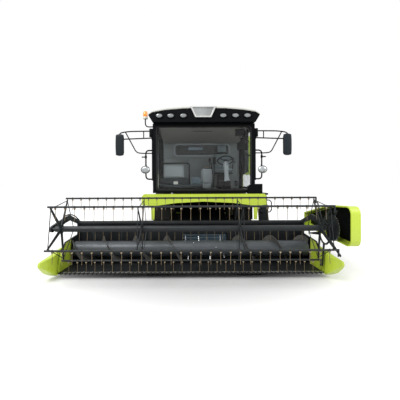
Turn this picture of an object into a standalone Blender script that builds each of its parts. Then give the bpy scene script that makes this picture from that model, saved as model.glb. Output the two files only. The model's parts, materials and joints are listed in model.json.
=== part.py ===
"""Combine harvester: a self-propelled grain combine with a rigid cutting header, a pick-up reel and a cab.

The model is built in the machine's own axes: X across (+X is the machine's left), the front faces -Y,
Y = 0 at the front axle and Z = 0 on the ground. The empty "body_chassis" then moves everything so that the
origin is under the middle of the whole machine. Metres, +Z up.
"""

import math

import bmesh
import bpy
from mathutils import Matrix, Vector

# ------------------------------------------------------------------ driving dimensions
GAP = 0.0005              # static pieces that touch
CLEAR = 0.006             # moving pieces that pass each other
SHEET = 0.02              # bent sheet metal walls
SHARP = math.radians(35)  # edges that bend more than this stay sharp when shaded

# running gear
FRONT_TYRE = dict(radius=0.69, width=0.45, rim=0.33, hub=0.13, bore=0.078)
REAR_TYRE = dict(radius=0.48, width=0.31, rim=0.20, hub=0.09, bore=0.050)
FRONT_TRACK = 2.06
REAR_TRACK = 1.90
WHEELBASE = 3.30
KINGPIN_X = 0.68
STEER_ARM = 0.25
WHEEL_STEPS = 20

# chassis and body
RAIL_IN, RAIL_WIDE = 0.705, 0.07
RAIL_Z, RAIL_HIGH = 1.02, 0.14
HOUSING_HALF = 0.695
HOUSING_Y = (-0.17, 3.02)
TANK_HALF = 1.30
TANK_Y = (-0.14, 1.64)
TANK_Z = (1.62, 3.20)
DECK_Y = (1.67, 2.98)
DECK_Z = (1.99, 2.78)
HOOD_Y = (3.05, 4.55)
SHIELD_X = 1.31
SHIELD_Y = (0.96, 2.98)
SHIELD_Z = (0.98, 1.96)

# cab
CAB_HALF = 1.10
CAB_Y = (-1.75, -0.22)
CAB_FLOOR = (1.42, 1.48)
CAB_TOP = 2.91
PILLAR = 0.085
ROOF_HALF = 1.17
ROOF_Y = (-1.92, -0.16)
ROOF_EDGE, ROOF_CROWN = 3.06, 3.20
REAR_WINDOW = (-0.69, 0.73, 2.37, 2.65)
WHEEL_SEAT_X = 0.52
STEERING_WHEEL_RADIUS = 0.18
STEERING_WHEEL_AT = (-1.30, 2.15)
COLUMN_LEAN = math.radians(28)
COWL_HALF = 1.33
COWL_TOP = 1.40

# boarding
DECK = (1.36, 1.40)       # low and high face of the platform at the door
DECK_EDGE = 1.47
LADDER_Y = (-1.42, -0.97)
LADDER_TOP = (1.29, 1.43)     # inner and outer edge of a side plate at the deck
LADDER_FOOT = (1.40, 1.52)    # and at its foot
LADDER_LOW = 0.42
RUNGS = 4

# mirrors and lamps on the cab's front pillars
MIRROR_ARM_OUT = 1.80
LOOP_X = 1.25
LAMP_Z = 1.92

# header: everything on it hangs from these
HEADER_X = -0.29          # the header sits this far to the machine's right
CUT_HALF = 2.285          # half of the cutting width
KNIFE = (-2.93, 0.085)    # y, z
AUGER = (-2.30, 0.355)    # y, z of the cross auger's axis
AUGER_TUBE, AUGER_FLIGHT, AUGER_PITCH = 0.15, 0.25, 0.62
TROUGH = 0.28             # radius of the trough round the auger
HEADER_TOP = 0.81
SKID_SHOES = (-0.88, 0.73)
FEEDER_PIVOT = (-0.35, 1.10)
FEEDER_HALF = 0.50
FEEDER_WALL = 0.025
LIFT_PIN_X = 0.625
LIFT_FOOT, LIFT_EYE = (-0.215, 0.60), (-1.35, 0.50)   # y, z of the header lift cylinders' pins

# reel
REEL = (-3.07, 0.865)     # y, z of the reel's axis
REEL_RADIUS = 0.566
REEL_HALF = 2.22
REEL_ARM_PIVOT = (-1.87, 0.80)
BAT_COUNT = 5
FIRST_BAT = math.radians(-26.6)
BAT = 0.030               # side of a bat's tube
TINE_PITCH, TINE_LONG, TINE_COUNT = 0.15, 0.20, 29
SPIDER_AT = (-2.185, -0.825, 0.825, 2.185)
ECCENTRIC_DROP = 0.09

# unloading tube
TUBE_RADIUS = 0.12
TUBE_TAIL = 0.03          # how far the tube runs past its pivot
TUBE_PIVOT = (TANK_HALF + math.hypot(TUBE_TAIL, TUBE_RADIUS) + CLEAR, 0.35)
TUBE_Z = 2.88
TUBE_END = 3.95

# colours: base colour, roughness, metallic
PAINTS = {
    "lime_paint": ((0.50, 0.68, 0.03), 0.35, 0.0),
    "dark_steel": ((0.035, 0.040, 0.043), 0.50, 0.3),
    "black_paint": ((0.008, 0.010, 0.012), 0.40, 0.0),
    "roof_white": ((0.80, 0.80, 0.74), 0.35, 0.0),
    "cab_grey": ((0.09, 0.09, 0.08), 0.70, 0.0),
    "light_grey": ((0.35, 0.37, 0.38), 0.45, 0.0),
    "seat_fabric": ((0.06, 0.07, 0.08), 0.90, 0.0),
    "glass": ((0.55, 0.62, 0.62), 0.05, 0.0),
    "tyre_rubber": ((0.015, 0.015, 0.015), 0.85, 0.0),
    "rim_paint": ((0.62, 0.62, 0.55), 0.40, 0.0),
    "bright_steel": ((0.55, 0.56, 0.57), 0.25, 1.0),
    "cast_iron": ((0.10, 0.10, 0.10), 0.65, 0.6),
    "tine_wire": ((0.16, 0.10, 0.05), 0.45, 0.7),
}

# moving bodies: body -> (parent body, pivot in machine axes)
PIVOTS = {"chassis": (None, (0, 0, 0))}


# ------------------------------------------------------------------ shapes: each gives (points, faces)
def grid_faces(rings, count):
    """Quads between successive closed rings of count points, with both ends closed."""
    faces = []
    for ring in range(rings - 1):
        for i in range(count):
            j = (i + 1) % count
            faces.append((ring * count + i, ring * count + j, (ring + 1) * count + j, (ring + 1) * count + i))
    faces.append(tuple(range(count)))
    faces.append(tuple(range((rings - 1) * count, rings * count)))
    return faces


def loft(rings):
    """A closed solid through rings that all have the same number of points."""
    points = [point for ring in rings for point in ring]
    return points, grid_faces(len(rings), len(rings[0]))


def box(x, y, z):
    """A block between (low, high) pairs along X, Y and Z."""
    return loft([[(x[0], y[0], h), (x[1], y[0], h), (x[1], y[1], h), (x[0], y[1], h)] for h in z])


def prism(axis, span, outline):
    """An outline carried along an axis: it is (y, z) for X, (x, z) for Y and (x, y) for Z."""
    place = {
        "X": lambda t, p: (t, p[0], p[1]),
        "Y": lambda t, p: (p[0], t, p[1]),
        "Z": lambda t, p: (p[0], p[1], t),
    }[axis]
    return loft([[place(t, p) for p in outline] for t in span])


def rod(start, end, radius, sides=8, end_radius=None):
    """A round bar from start to end, with its corners turned half a side round."""
    start, end = Vector(start), Vector(end)
    across = (end - start).orthogonal().normalized()
    if abs((end - start).normalized().x) > 0.99:
        across = Vector((0, 0, 1))
    other = (end - start).normalized().cross(across)
    rings = []
    for centre, r in ((start, radius), (end, radius if end_radius is None else end_radius)):
        angles = [2 * math.pi * i / sides for i in range(sides)]
        rings.append([tuple(centre + r * (math.cos(a) * across + math.sin(a) * other)) for a in angles])
    return loft(rings)


def pipe(route, radius, sides=6):
    """A tube along a route of points, mitred at its bends."""
    route = [Vector(p) for p in route]
    steps = [(b - a).normalized() for a, b in zip(route, route[1:])]
    normal = steps[0].orthogonal().normalized()
    rings = []
    for i, point in enumerate(route):
        before, after = steps[max(i - 1, 0)], steps[min(i, len(steps) - 1)]
        along = (before + after).normalized()
        stretch = 1 / max(along.dot(before), 0.5)
        normal = (normal - normal.dot(before) * before).normalized()
        side = before.cross(normal)
        bend = (after - before)
        bend = bend.normalized() if bend.length > 1e-6 else None
        ring = []
        for k in range(sides):
            angle = 2 * math.pi * (k + 0.5) / sides
            spoke = radius * (math.cos(angle) * normal + math.sin(angle) * side)
            spoke -= along * (spoke.dot(along))
            if bend:
                spoke += bend * spoke.dot(bend) * (stretch - 1)
            ring.append(tuple(point + spoke))
        rings.append(ring)
        normal = (normal - normal.dot(after) * after).normalized()
    return loft(rings)


def turned(centre, profile, steps=WHEEL_STEPS, phase=0.0):
    """A closed profile of (radius, x) turned about the X axis through centre, a corner straight down."""
    points, faces = [], []
    count = len(profile)
    for step in range(steps):
        angle = 2 * math.pi * step / steps - math.pi / 2 + phase
        for radius, x in profile:
            y, z = radius * math.cos(angle), radius * math.sin(angle)
            points.append((centre[0] + x, centre[1] + y, centre[2] + z))
    for step in range(steps):
        after = (step + 1) % steps
        for i in range(count):
            j = (i + 1) % count
            faces.append((step * count + i, step * count + j, after * count + j, after * count + i))
    return points, faces


def arc(centre, radius, start, end, steps):
    """Points of an arc in a plane, angles in degrees."""
    angles = [math.radians(start + (end - start) * i / steps) for i in range(steps + 1)]
    return [(centre[0] + radius * math.cos(a), centre[1] + radius * math.sin(a)) for a in angles]


# ------------------------------------------------------------------ scene helpers
def clear_scene():
    for obj in list(bpy.data.objects):
        bpy.data.objects.remove(obj, do_unlink=True)


def paint(name):
    material = bpy.data.materials.get(name)
    if material:
        return material
    colour, roughness, metallic = PAINTS[name]
    material = bpy.data.materials.new(name)
    material.use_nodes = True
    shader = material.node_tree.nodes["Principled BSDF"]
    shader.inputs["Base Color"].default_value = (*colour, 1)
    shader.inputs["Roughness"].default_value = roughness
    shader.inputs["Metallic"].default_value = metallic
    return material


def mesh_object(name, shape, offset):
    points, faces = shape
    mesh = bpy.data.meshes.new(name)
    mesh.from_pydata([tuple(Vector(p) - offset) for p in points], [], faces)
    work = bmesh.new()
    work.from_mesh(mesh)
    bmesh.ops.recalc_face_normals(work, faces=work.faces)
    work.to_mesh(mesh)
    work.free()
    mesh.shade_smooth()
    mesh.set_sharp_from_angle(angle=SHARP)
    obj = bpy.data.objects.new(name, mesh)
    bpy.context.scene.collection.objects.link(obj)
    return obj


def body(name, parent, pivot):
    """A moving body: an empty on its joint's axis, under its parent's empty."""
    PIVOTS[name] = (parent, pivot)
    empty = bpy.data.objects.new("body_" + name, None)
    bpy.context.scene.collection.objects.link(empty)
    if parent:
        empty.parent = bpy.data.objects["body_" + parent]
        empty.location = Vector(pivot) - Vector(PIVOTS[parent][1])


def node(name, body_name, colour, add, cut=()):
    """One closed solid: the first shape, united with the others, less the cuts."""
    holder = bpy.data.objects["body_" + body_name]
    offset = Vector(PIVOTS[body_name][1])
    obj = mesh_object(name, add[0], offset)
    obj.parent = holder
    obj.data.materials.append(paint(colour))
    for operation, shapes in (("UNION", add[1:]), ("DIFFERENCE", cut)):
        if not shapes:
            continue
        group = bpy.data.collections.new(name + "_" + operation.lower())
        bpy.context.scene.collection.children.link(group)
        for i, shape in enumerate(shapes):
            operand = mesh_object(f"{name}_{operation.lower()}_{i}", shape, offset)
            bpy.context.scene.collection.objects.unlink(operand)
            group.objects.link(operand)
            operand.parent = holder
            operand.hide_render = True
            operand.display_type = "WIRE"
        modifier = obj.modifiers.new(operation.lower(), "BOOLEAN")
        modifier.operation = operation
        modifier.operand_type = "COLLECTION"
        modifier.collection = group
    return obj


SIDES = (("left", 1), ("right", -1))


def both(side, low, high):
    """A span on one side of the centreline: (low, high) on the left, mirrored on the right."""
    return (low, high) if side > 0 else (-high, -low)


# ------------------------------------------------------------------ running gear
def wheel(name, body_name, size, centre, side):
    """A tyre and the rim that fills it; the rim's disc is on the outboard half."""
    radius, half, rim = size["radius"], size["width"] / 2, size["rim"]
    seat = rim + GAP
    tyre = [(seat, -0.74 * half), (seat + 0.03, -0.92 * half), (0.78 * radius, -half),
            (0.97 * radius, -0.9 * half),
            (radius, -0.7 * half), (radius, 0.7 * half), (0.97 * radius, 0.9 * half), (0.78 * radius, half),
            (seat + 0.03, 0.92 * half), (seat, 0.74 * half)]
    node(name + "_tyre", body_name, "tyre_rubber", [turned(centre, tyre)])
    wall, disc, edge = 0.025, side * 0.10 * half, 0.72 * half
    hub_in, hub_out = -side * 0.28 * half, side * 0.45 * half
    hub, bore = size["hub"], size["bore"]
    barrel = [(rim, -side * edge), (rim, side * edge), (rim - wall, side * edge), (rim - wall, disc + side * wall),
              (hub, disc + side * wall), (hub, hub_out), (0.3 * bore, hub_out), (0.3 * bore, hub_out - side * wall),
              (bore, hub_out - side * wall), (bore, hub_in), (hub, hub_in), (hub, disc), (rim - wall, disc),
              (rim - wall, -side * edge)]
    node(name + "_rim", body_name, "rim_paint", [turned(centre, barrel)])


def running_gear():
    front_z, rear_z = FRONT_TYRE["radius"], REAR_TYRE["radius"]
    beam = [box((-0.72, 0.72), (-0.10, 0.10), (front_z - 0.09, front_z + 0.09))]
    for _, side in SIDES:
        beam.append(box(both(side, 0.702, 0.775), (-0.15, 0.17), (front_z - 0.16, RAIL_Z - 0.01)))
        hub_end = FRONT_TRACK / 2 + 0.28 * FRONT_TYRE["width"] / 2
        beam.append(rod((side * 0.70, 0, front_z), (side * (hub_end - 0.06), 0, front_z), 0.065, 16))
        beam.append(box(both(side, 0.674, 0.70), (-0.26, -0.08), (0.53, 0.72)))
    node("front_axle", "chassis", "cast_iron", beam)
    y = WHEELBASE
    eyes, bores = [], []
    for _, side in SIDES:
        eyes.append(rod((side * KINGPIN_X, y, rear_z - 0.08), (side * KINGPIN_X, y, rear_z + 0.08), 0.048,
                        12))
        bores.append(rod((side * KINGPIN_X, y, rear_z - 0.2), (side * KINGPIN_X, y, rear_z + 0.2), 0.024, 12))
    pivot_block = box((-0.10, 0.10), (y - 0.07, y + 0.07), (rear_z + 0.05, RAIL_Z - 0.005))
    beam = box((-KINGPIN_X + 0.02, KINGPIN_X - 0.02), (y - 0.06, y + 0.06), (rear_z - 0.065, rear_z + 0.065))
    node("rear_axle", "chassis", "cast_iron", [beam, *eyes, pivot_block], bores)

    for label, side in SIDES:
        centre = (side * FRONT_TRACK / 2, 0, front_z)
        body("front_wheel_" + label, "chassis", centre)
        wheel("front_" + label, "front_wheel_" + label, FRONT_TYRE, centre, side)
    for label, side in SIDES:
        pin = (side * KINGPIN_X, y, rear_z)
        body("knuckle_" + label, "chassis", pin)
        lugs = [box(both(side, KINGPIN_X - 0.045, 0.772), (y - 0.045, y + 0.045), span)
                for span in ((rear_z - 0.125, rear_z - 0.08 - 0.005), (rear_z + 0.085, rear_z + 0.125))]
        web = box(both(side, 0.742, 0.770), (y - 0.046, y + 0.046), (rear_z - 0.124, rear_z + 0.124))
        pin_bar = rod((side * KINGPIN_X, y, rear_z - 0.12), (side * KINGPIN_X, y, rear_z + 0.12), 0.019, 12)
        spindle = rod((side * 0.76, y, rear_z), (side * (REAR_TRACK / 2 + 0.01), y, rear_z), 0.042, 12)
        arm = box(both(side, KINGPIN_X - 0.03, KINGPIN_X + 0.03), (y + 0.02, y + STEER_ARM + 0.03),
                  (rear_z - 0.124, rear_z - 0.10))
        node("knuckle_" + label, "knuckle_" + label, "cast_iron", [web, *lugs, pin_bar, spindle, arm])
        centre = (side * REAR_TRACK / 2, y, rear_z)
        body("rear_wheel_" + label, "knuckle_" + label, centre)
        wheel("rear_" + label, "rear_wheel_" + label, REAR_TYRE, centre, side)
    rod_z = rear_z - 0.145
    arm_y = y + STEER_ARM
    body("tie_rod", "knuckle_left", (KINGPIN_X, arm_y, rod_z))
    node("tie_rod", "tie_rod", "cast_iron", [
        rod((-KINGPIN_X, arm_y, rod_z), (KINGPIN_X, arm_y, rod_z), 0.014),
        *[rod((s * KINGPIN_X, arm_y, rod_z - 0.02), (s * KINGPIN_X, arm_y, rod_z + 0.018), 0.025) for _,
          s in SIDES]])


# ------------------------------------------------------------------ chassis and body
def chassis():
    top = RAIL_Z + RAIL_HIGH
    end = HOOD_Y[1] - 0.30
    rear_member = (WHEELBASE - 0.06, WHEELBASE + 0.06)
    parts = [box((-RAIL_IN - 0.02, RAIL_IN + 0.02), rear_member, (RAIL_Z + 0.01, RAIL_Z + 0.12))]
    for _, side in SIDES:
        parts.append(box(both(side, RAIL_IN, RAIL_IN + RAIL_WIDE), (-0.29, end), (RAIL_Z, top)))
        post = both(side, RAIL_IN + 0.002, RAIL_IN + RAIL_WIDE - 0.002)
        parts.append(box(post, (-0.285, -0.20), (RAIL_Z + 0.01, 1.40)))
    parts.append(box((-RAIL_IN - 0.03, RAIL_IN + 0.03), (-0.28, -0.205), (1.33, 1.395)))
    parts.append(box((-RAIL_IN - 0.02, RAIL_IN + 0.02), (end - 0.11, end - 0.01),
                     (RAIL_Z - 0.10, top - 0.01)))
    parts.append(box((-0.07, 0.07), (end - 0.05, end + 0.16), (RAIL_Z - 0.34, RAIL_Z - 0.02)))
    parts.append(box((-0.16, 0.16), (end + 0.12, end + 0.18), (RAIL_Z - 0.38, RAIL_Z - 0.14)))
    node("chassis_frame", "chassis", "dark_steel", parts)

    front, back = HOUSING_Y
    outline = [(front, 0.86), (0.20, 0.86), (0.42, 0.55), (2.55, 0.60), (back - 0.25, 1.00), (back, 1.20),
               (back, 1.92),
               (1.66, 1.92), (1.66, 1.60), (front, 1.60)]
    node("threshing_housing", "chassis", "lime_paint", [prism("X", (-HOUSING_HALF, HOUSING_HALF), outline)])

    node("engine_block", "chassis", "cast_iron", [box((-0.55, 0.55), (1.84, 2.78), (1.93, 2.60))])


def grain_tank():
    """An open hopper: straight walls above and a floor whose sides slope in."""
    x, (y0, y1), (z0, z1) = TANK_HALF, TANK_Y, TANK_Z
    slope, knee, t = 0.62, 0.30, 0.03
    outer = prism("Y", (y0, y1), [
        (-x + slope, z0), (x - slope, z0), (x, z0 + knee), (x, z1), (-x, z1), (-x, z0 + knee)])
    inner = prism("Y", (y0 + t, y1 - t), [
        (-x + slope + t, z0 + t), (x - slope - t, z0 + t), (x - t, z0 + knee + t),
        (x - t, z1 + 0.1), (-x + t, z1 + 0.1), (-x + t, z0 + knee + t)])
    node("grain_tank", "chassis", "lime_paint", [outer], [inner])


def rear_body():
    y0, y1 = DECK_Y
    z0, z1 = DECK_Z
    half = TANK_HALF - 0.02
    t, drop, shoulder = 0.03, 0.18, 0.25
    outer = prism("Y", (y0, y1), [
        (-half, z0), (half, z0), (half, z1 - drop), (half - shoulder, z1), (-half + shoulder, z1), (-half,
                                                                                                    z1 - drop)])
    inner = prism("Y", (y0 + t, y1 - t), [
        (-half + t, z0 - 0.1), (half - t, z0 - 0.1), (half - t, z1 - drop - 0.02),
        (half - shoulder - 0.01, z1 - t), (-half + shoulder + 0.01, z1 - t), (-half + t, z1 - drop - 0.02)])
    exhaust = rod((-0.75, 2.30, z1 - 0.01), (-0.75, 2.30, z1 + 0.42), 0.055, 10)
    node("engine_deck", "chassis", "lime_paint", [outer, exhaust], [inner])

    y0, y1 = HOOD_Y
    skirt, crown, knee, tail = 1.20, 2.30, 1.86, 1.60
    outline = [(y0, skirt), (y0, crown), (y0 + 0.75, crown - 0.04), (y1 - 0.12, knee), (y1, tail),
               (y1, skirt)]
    inside = [(y0 - 0.1, skirt - 0.1), (y0 - 0.1, crown - t), (y0 + 0.74, crown - 0.04 - t),
              (y1 - 0.14, knee - t), (y1 - t, tail - 0.02), (y1 - t, skirt - 0.1)]
    node("straw_hood", "chassis", "lime_paint", [prism("X", (-HOUSING_HALF, HOUSING_HALF), outline)],
         [prism("X", (-HOUSING_HALF + t, HOUSING_HALF - t), inside)])

    for label, side in SIDES:
        hinge = (side * SHIELD_X, (SHIELD_Y[0] + SHIELD_Y[1]) / 2, SHIELD_Z[1])
        body("side_shield_" + label, "chassis", hinge)
        panel = prism("X", both(side, SHIELD_X, SHIELD_X + 0.03), [
            (SHIELD_Y[0], SHIELD_Z[0] + 0.25), (SHIELD_Y[0] + 0.16, SHIELD_Z[0]), (SHIELD_Y[1], SHIELD_Z[0]),
            (SHIELD_Y[1], SHIELD_Z[1]), (SHIELD_Y[0] - 0.10, SHIELD_Z[1]), (SHIELD_Y[0] - 0.10,
                                                                            SHIELD_Z[1] - 0.30)])
        node("side_shield_" + label, "side_shield_" + label, "lime_paint", [panel])


def unloading_tube():
    """Swings out sideways about a vertical axis beside the tank, folded back at rest."""
    x, y = TUBE_PIVOT
    body("unloading_tube", "chassis", (x, y, TUBE_Z))
    r = TUBE_RADIUS
    riser = rod((x, y, TUBE_Z - 0.50), (x, y, TUBE_Z + 0.02), r - 0.01, 12)
    run = rod((x, y - TUBE_TAIL, TUBE_Z), (x, TUBE_END, TUBE_Z + 0.06), r, 12)
    spout = rod((x, TUBE_END - 0.14, TUBE_Z + 0.05), (x, TUBE_END - 0.02, TUBE_Z - 0.32), 0.115, 10)
    node("unloading_tube", "unloading_tube", "lime_paint", [run, riser, spout])
    node("unloading_turret", "chassis", "lime_paint", [
        rod((x, y, TUBE_Z - 1.02), (x, y, TUBE_Z - 0.50 - CLEAR), r, 12),
        box((TANK_HALF + GAP, x), (y - 0.09, y + 0.09), (TUBE_Z - 1.00, TUBE_Z - 0.82))])


# ------------------------------------------------------------------ cab
def cab():
    x, (y0, y1), (f0, f1) = CAB_HALF, CAB_Y, CAB_FLOOR
    rear = y1 - 0.04
    parts = [box((-x, x), (y0 + 0.002, y1 - 0.002), (f0, f1))]
    for s in (-1, 1):
        across = both(s, x - PILLAR, x - 0.002)
        parts.append(box(across, (y0, y0 + 0.08), (f1 - 0.02, CAB_TOP)))
        parts.append(box(across, (y1 - 0.08, y1), (f1 - 0.02, CAB_TOP - 0.001)))
        parts.append(box(both(s, x - 0.06, x - 0.004), (y0 + 0.01, y1 - 0.01),
                         (CAB_TOP - 0.05, CAB_TOP - 0.003)))
    for y in (y0 + 0.005, y1 - 0.065):
        parts.append(box((-x + 0.02, x - 0.02), (y, y + 0.06), (CAB_TOP - 0.06, CAB_TOP - 0.004)))
    parts.append(box((-x + 0.03, x - 0.03), (rear - 0.01, rear + 0.02), (f1 - 0.01, CAB_TOP - 0.02)))
    wx0, wx1, wz0, wz1 = REAR_WINDOW
    r = 0.07
    corners = ((wx1 - r, wz0 + r, -90), (wx1 - r, wz1 - r, 0), (wx0 + r, wz1 - r, 90),
               (wx0 + r, wz0 + r, 180))
    outline = [p for cx, cz, a in corners for p in arc((cx, cz), r, a, a + 90, 3)]
    node("cab_frame", "chassis", "black_paint", parts, [prism("Y", (rear - 0.1, rear + 0.1), outline)])

    t = 0.012
    node("windshield", "chassis", "glass", [
        box((-x + PILLAR + 0.001, x - PILLAR - 0.001), (y0 + 0.02, y0 + 0.02 + t),
            (f1 + 0.001, CAB_TOP - 0.062))])
    node("side_window", "chassis", "glass", [
        box((-x + 0.02, -x + 0.02 + t), (y0 + 0.081, y1 - 0.081), (f1 + 0.001, CAB_TOP - 0.052))])
    rear_pillar = y1 - 0.08
    body("cab_door", "chassis", (x + 0.008, rear_pillar - CLEAR / 2, 2.2))
    frame = box((x - 0.03, x), (y0 + 0.08 + CLEAR, rear_pillar - CLEAR), (f1 + CLEAR, CAB_TOP - 0.05 - CLEAR))
    hole = box((x - 0.1, x + 0.1), (y0 + 0.08 + 0.055, rear_pillar - 0.055), (f1 + 0.055, CAB_TOP - 0.105))
    node("cab_door", "cab_door", "black_paint", [frame], [hole])
    node("cab_door_glass", "cab_door", "glass", [
        box((x - 0.02, x - 0.01), (y0 + 0.0855 + 0.05, rear_pillar - 0.0555),
            (f1 + 0.0555, CAB_TOP - 0.1055))])


def roof():
    y0, y1 = ROOF_Y
    half, edge, crown = ROOF_HALF, ROOF_EDGE, ROOF_CROWN
    top = [(half * math.cos(a),
            edge + (crown - edge) * math.sin(a)) for a in (math.pi * i / 8 for i in range(9))]
    fascia = prism("Y", (y0, y1), [(-CAB_HALF + 0.02, CAB_TOP + GAP), (CAB_HALF - 0.02, CAB_TOP + GAP), *top])
    liner = prism("X", (-CAB_HALF + 0.10, CAB_HALF - 0.10), [
        (-1.62, CAB_TOP - 0.01), (-1.62, CAB_TOP + 0.02), (-0.33, CAB_TOP + 0.02), (-0.33, CAB_TOP - 0.16)])
    node("roof_fascia", "chassis", "black_paint", [fascia, liner])
    lift = 0.0006
    cap = []
    # place along the roof, thickness of the cap there
    for y, grow in ((y0 - 0.02, 0.035), (y0 + 0.35, 0.075), (0.5 * (y0 + y1), 0.09), (y1 - 0.25, 0.07),
                    (y1, 0.03)):
        low = [(px, y, pz + lift) for px, pz in top]
        high = [(px * (1 - 0.01), y, pz + grow) for px, pz in reversed(top)]
        cap.append(low + high)
    node("roof_cap", "chassis", "roof_white", [loft(cap)])


def cowl():
    """The painted apron under the windshield, with an arched lower edge and a leg at each side."""
    x, front = COWL_HALF, CAB_Y[0] - 0.09
    low = [(-x, 1.17), (-1.13, 1.15), (-1.12, 0.86), (-1.06, 0.86), (-1.05, 1.15), (-0.60, 1.21), (0.0, 1.24)]
    top = [(x, 1.34), (x - 0.05, COWL_TOP), (-x + 0.05, COWL_TOP), (-x, 1.34)]
    outline = low + [(-px, pz) for px, pz in reversed(low[:-1])] + top
    parts = [prism("Y", (front, front + 0.04), outline)]
    for s in (-1, 1):
        parts.append(box(both(s, x - 0.025, x - 0.001), (front + 0.02, front + 0.40), (1.18, 1.33)))
    parts.append(box((-x + 0.04, x - 0.04), (front + 0.02, front + 0.30),
                     (COWL_TOP - 0.03, COWL_TOP - 0.005)))
    node("cab_cowl", "chassis", "lime_paint", parts)
    node("corner_locker", "chassis", "black_paint", [prism("Y", (front, CAB_Y[0] - CLEAR), [
        (0.93, COWL_TOP + GAP), (1.24, COWL_TOP + GAP), (1.24, 1.61), (1.00, 1.61), (0.93, 1.56)])])


def cab_inside():
    floor = CAB_FLOOR[1] + GAP
    x = WHEEL_SEAT_X
    node("operator_seat", "chassis", "seat_fabric", [
        box((x - 0.24, x + 0.24), (-1.00, -0.55), (1.86, 2.00)),
        box((x - 0.22, x + 0.22), (-0.62, -0.48), (1.88, 2.34)),
        box((x - 0.15, x + 0.15), (-0.92, -0.62), (floor, 1.88))])
    sy, sz = STEERING_WHEEL_AT
    up = Vector((0, math.sin(COLUMN_LEAN), math.cos(COLUMN_LEAN)))
    centre = Vector((x, sy, sz))
    foot = centre - 0.60 * up
    node("steering_column", "chassis", "light_grey", [
        rod(tuple(foot), tuple(centre - 0.035 * up), 0.045, 10),
        rod((x, foot.y, floor), (x, foot.y, foot.z + 0.05), 0.075, 10, 0.055)])
    body("steering_wheel", "chassis", tuple(centre))
    across = Vector((1, 0, 0))
    along = up.cross(across)
    r = STEERING_WHEEL_RADIUS
    ring_points, ring_faces = [], []
    steps, sides = 20, 6
    for i in range(steps):
        a = 2 * math.pi * i / steps
        out = math.cos(a) * across + math.sin(a) * along
        for k in range(sides):
            b = 2 * math.pi * k / sides
            ring_points.append(tuple(centre + (r + 0.014 * math.cos(b)) * out + 0.014 * math.sin(b) * up))
    for i in range(steps):
        for k in range(sides):
            a0, a1 = i * sides, (i + 1) % steps * sides
            j = (k + 1) % sides
            ring_faces.append((a0 + k, a0 + j, a1 + j, a1 + k))
    spokes = []
    for a in (math.radians(7 + d) for d in (90, 210, 330)):
        rim = centre + r * (math.cos(a) * across + math.sin(a) * along)
        spokes.append(rod(tuple(centre - 0.01 * up), tuple(rim), 0.010, 6))
    hub = rod(tuple(centre - 0.028 * up), tuple(centre + 0.012 * up), 0.035, 10)
    node("steering_wheel", "steering_wheel", "black_paint", [(ring_points, ring_faces), *spokes, hub])
    node("operator_console", "chassis", "cab_grey", [
        box((-1.00, -0.02), (-1.56, -1.20), (floor, 1.56)),
        box((-0.27, -0.03), (-1.50, -1.25), (1.54, 1.73)),
        pipe([(-0.98, -1.42, 1.50), (-0.98, -1.42, 2.02), (-0.92, -1.42, 2.08), (-0.40, -1.42, 2.08),
              (-0.33, -1.42, 2.02), (-0.33, -1.42, 1.50)], 0.018),
        box((-0.92, -0.40), (-1.38, -1.30), (1.54, 1.98))])


def boarding():
    """The platform at the door, its ladder with two side plates, and a grab handle on the front plate."""
    x = CAB_HALF
    wheel_side = FRONT_TRACK / 2 + FRONT_TYRE["width"] / 2 + 0.03
    parts = [box((x + 0.005, DECK_EDGE), (LADDER_Y[0] - 0.001, -0.80), DECK)]
    parts.append(box((wheel_side, DECK_EDGE - 0.001), (-0.82, -0.30), (DECK[0] + 0.001, DECK[1] - 0.001)))
    parts.append(box((x + 0.01, x + 0.05), (-1.40, -0.82), (1.22, DECK[0] + 0.01)))
    low, high = LADDER_LOW, DECK[0] + 0.005
    for y in LADDER_Y:
        parts.append(prism("Y", (y, y + 0.015), [
            (LADDER_TOP[0], high), (LADDER_TOP[1], high), (LADDER_FOOT[1], low), (LADDER_FOOT[0], low)]))
    for i in range(RUNGS):
        z = low + 0.04 + 0.24 * i
        share = (z - low) / (high - low)
        inner, outer = (a + (b - a) * share for a, b in zip(LADDER_FOOT, LADDER_TOP))
        parts.append(box((inner + 0.01, outer - 0.005), (LADDER_Y[0] + 0.005, LADDER_Y[1] + 0.01),
                         (z, z + 0.03)))
    y = LADDER_Y[0] + 0.0075
    parts.append(pipe([(1.42, y, 1.24), (1.50, y, 1.24), (1.545, y, 1.19), (1.545, y, 1.02), (1.51, y, 0.97),
                       (1.45, y, 0.97)], 0.013))
    node("boarding_platform", "chassis", "dark_steel", parts)


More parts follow.
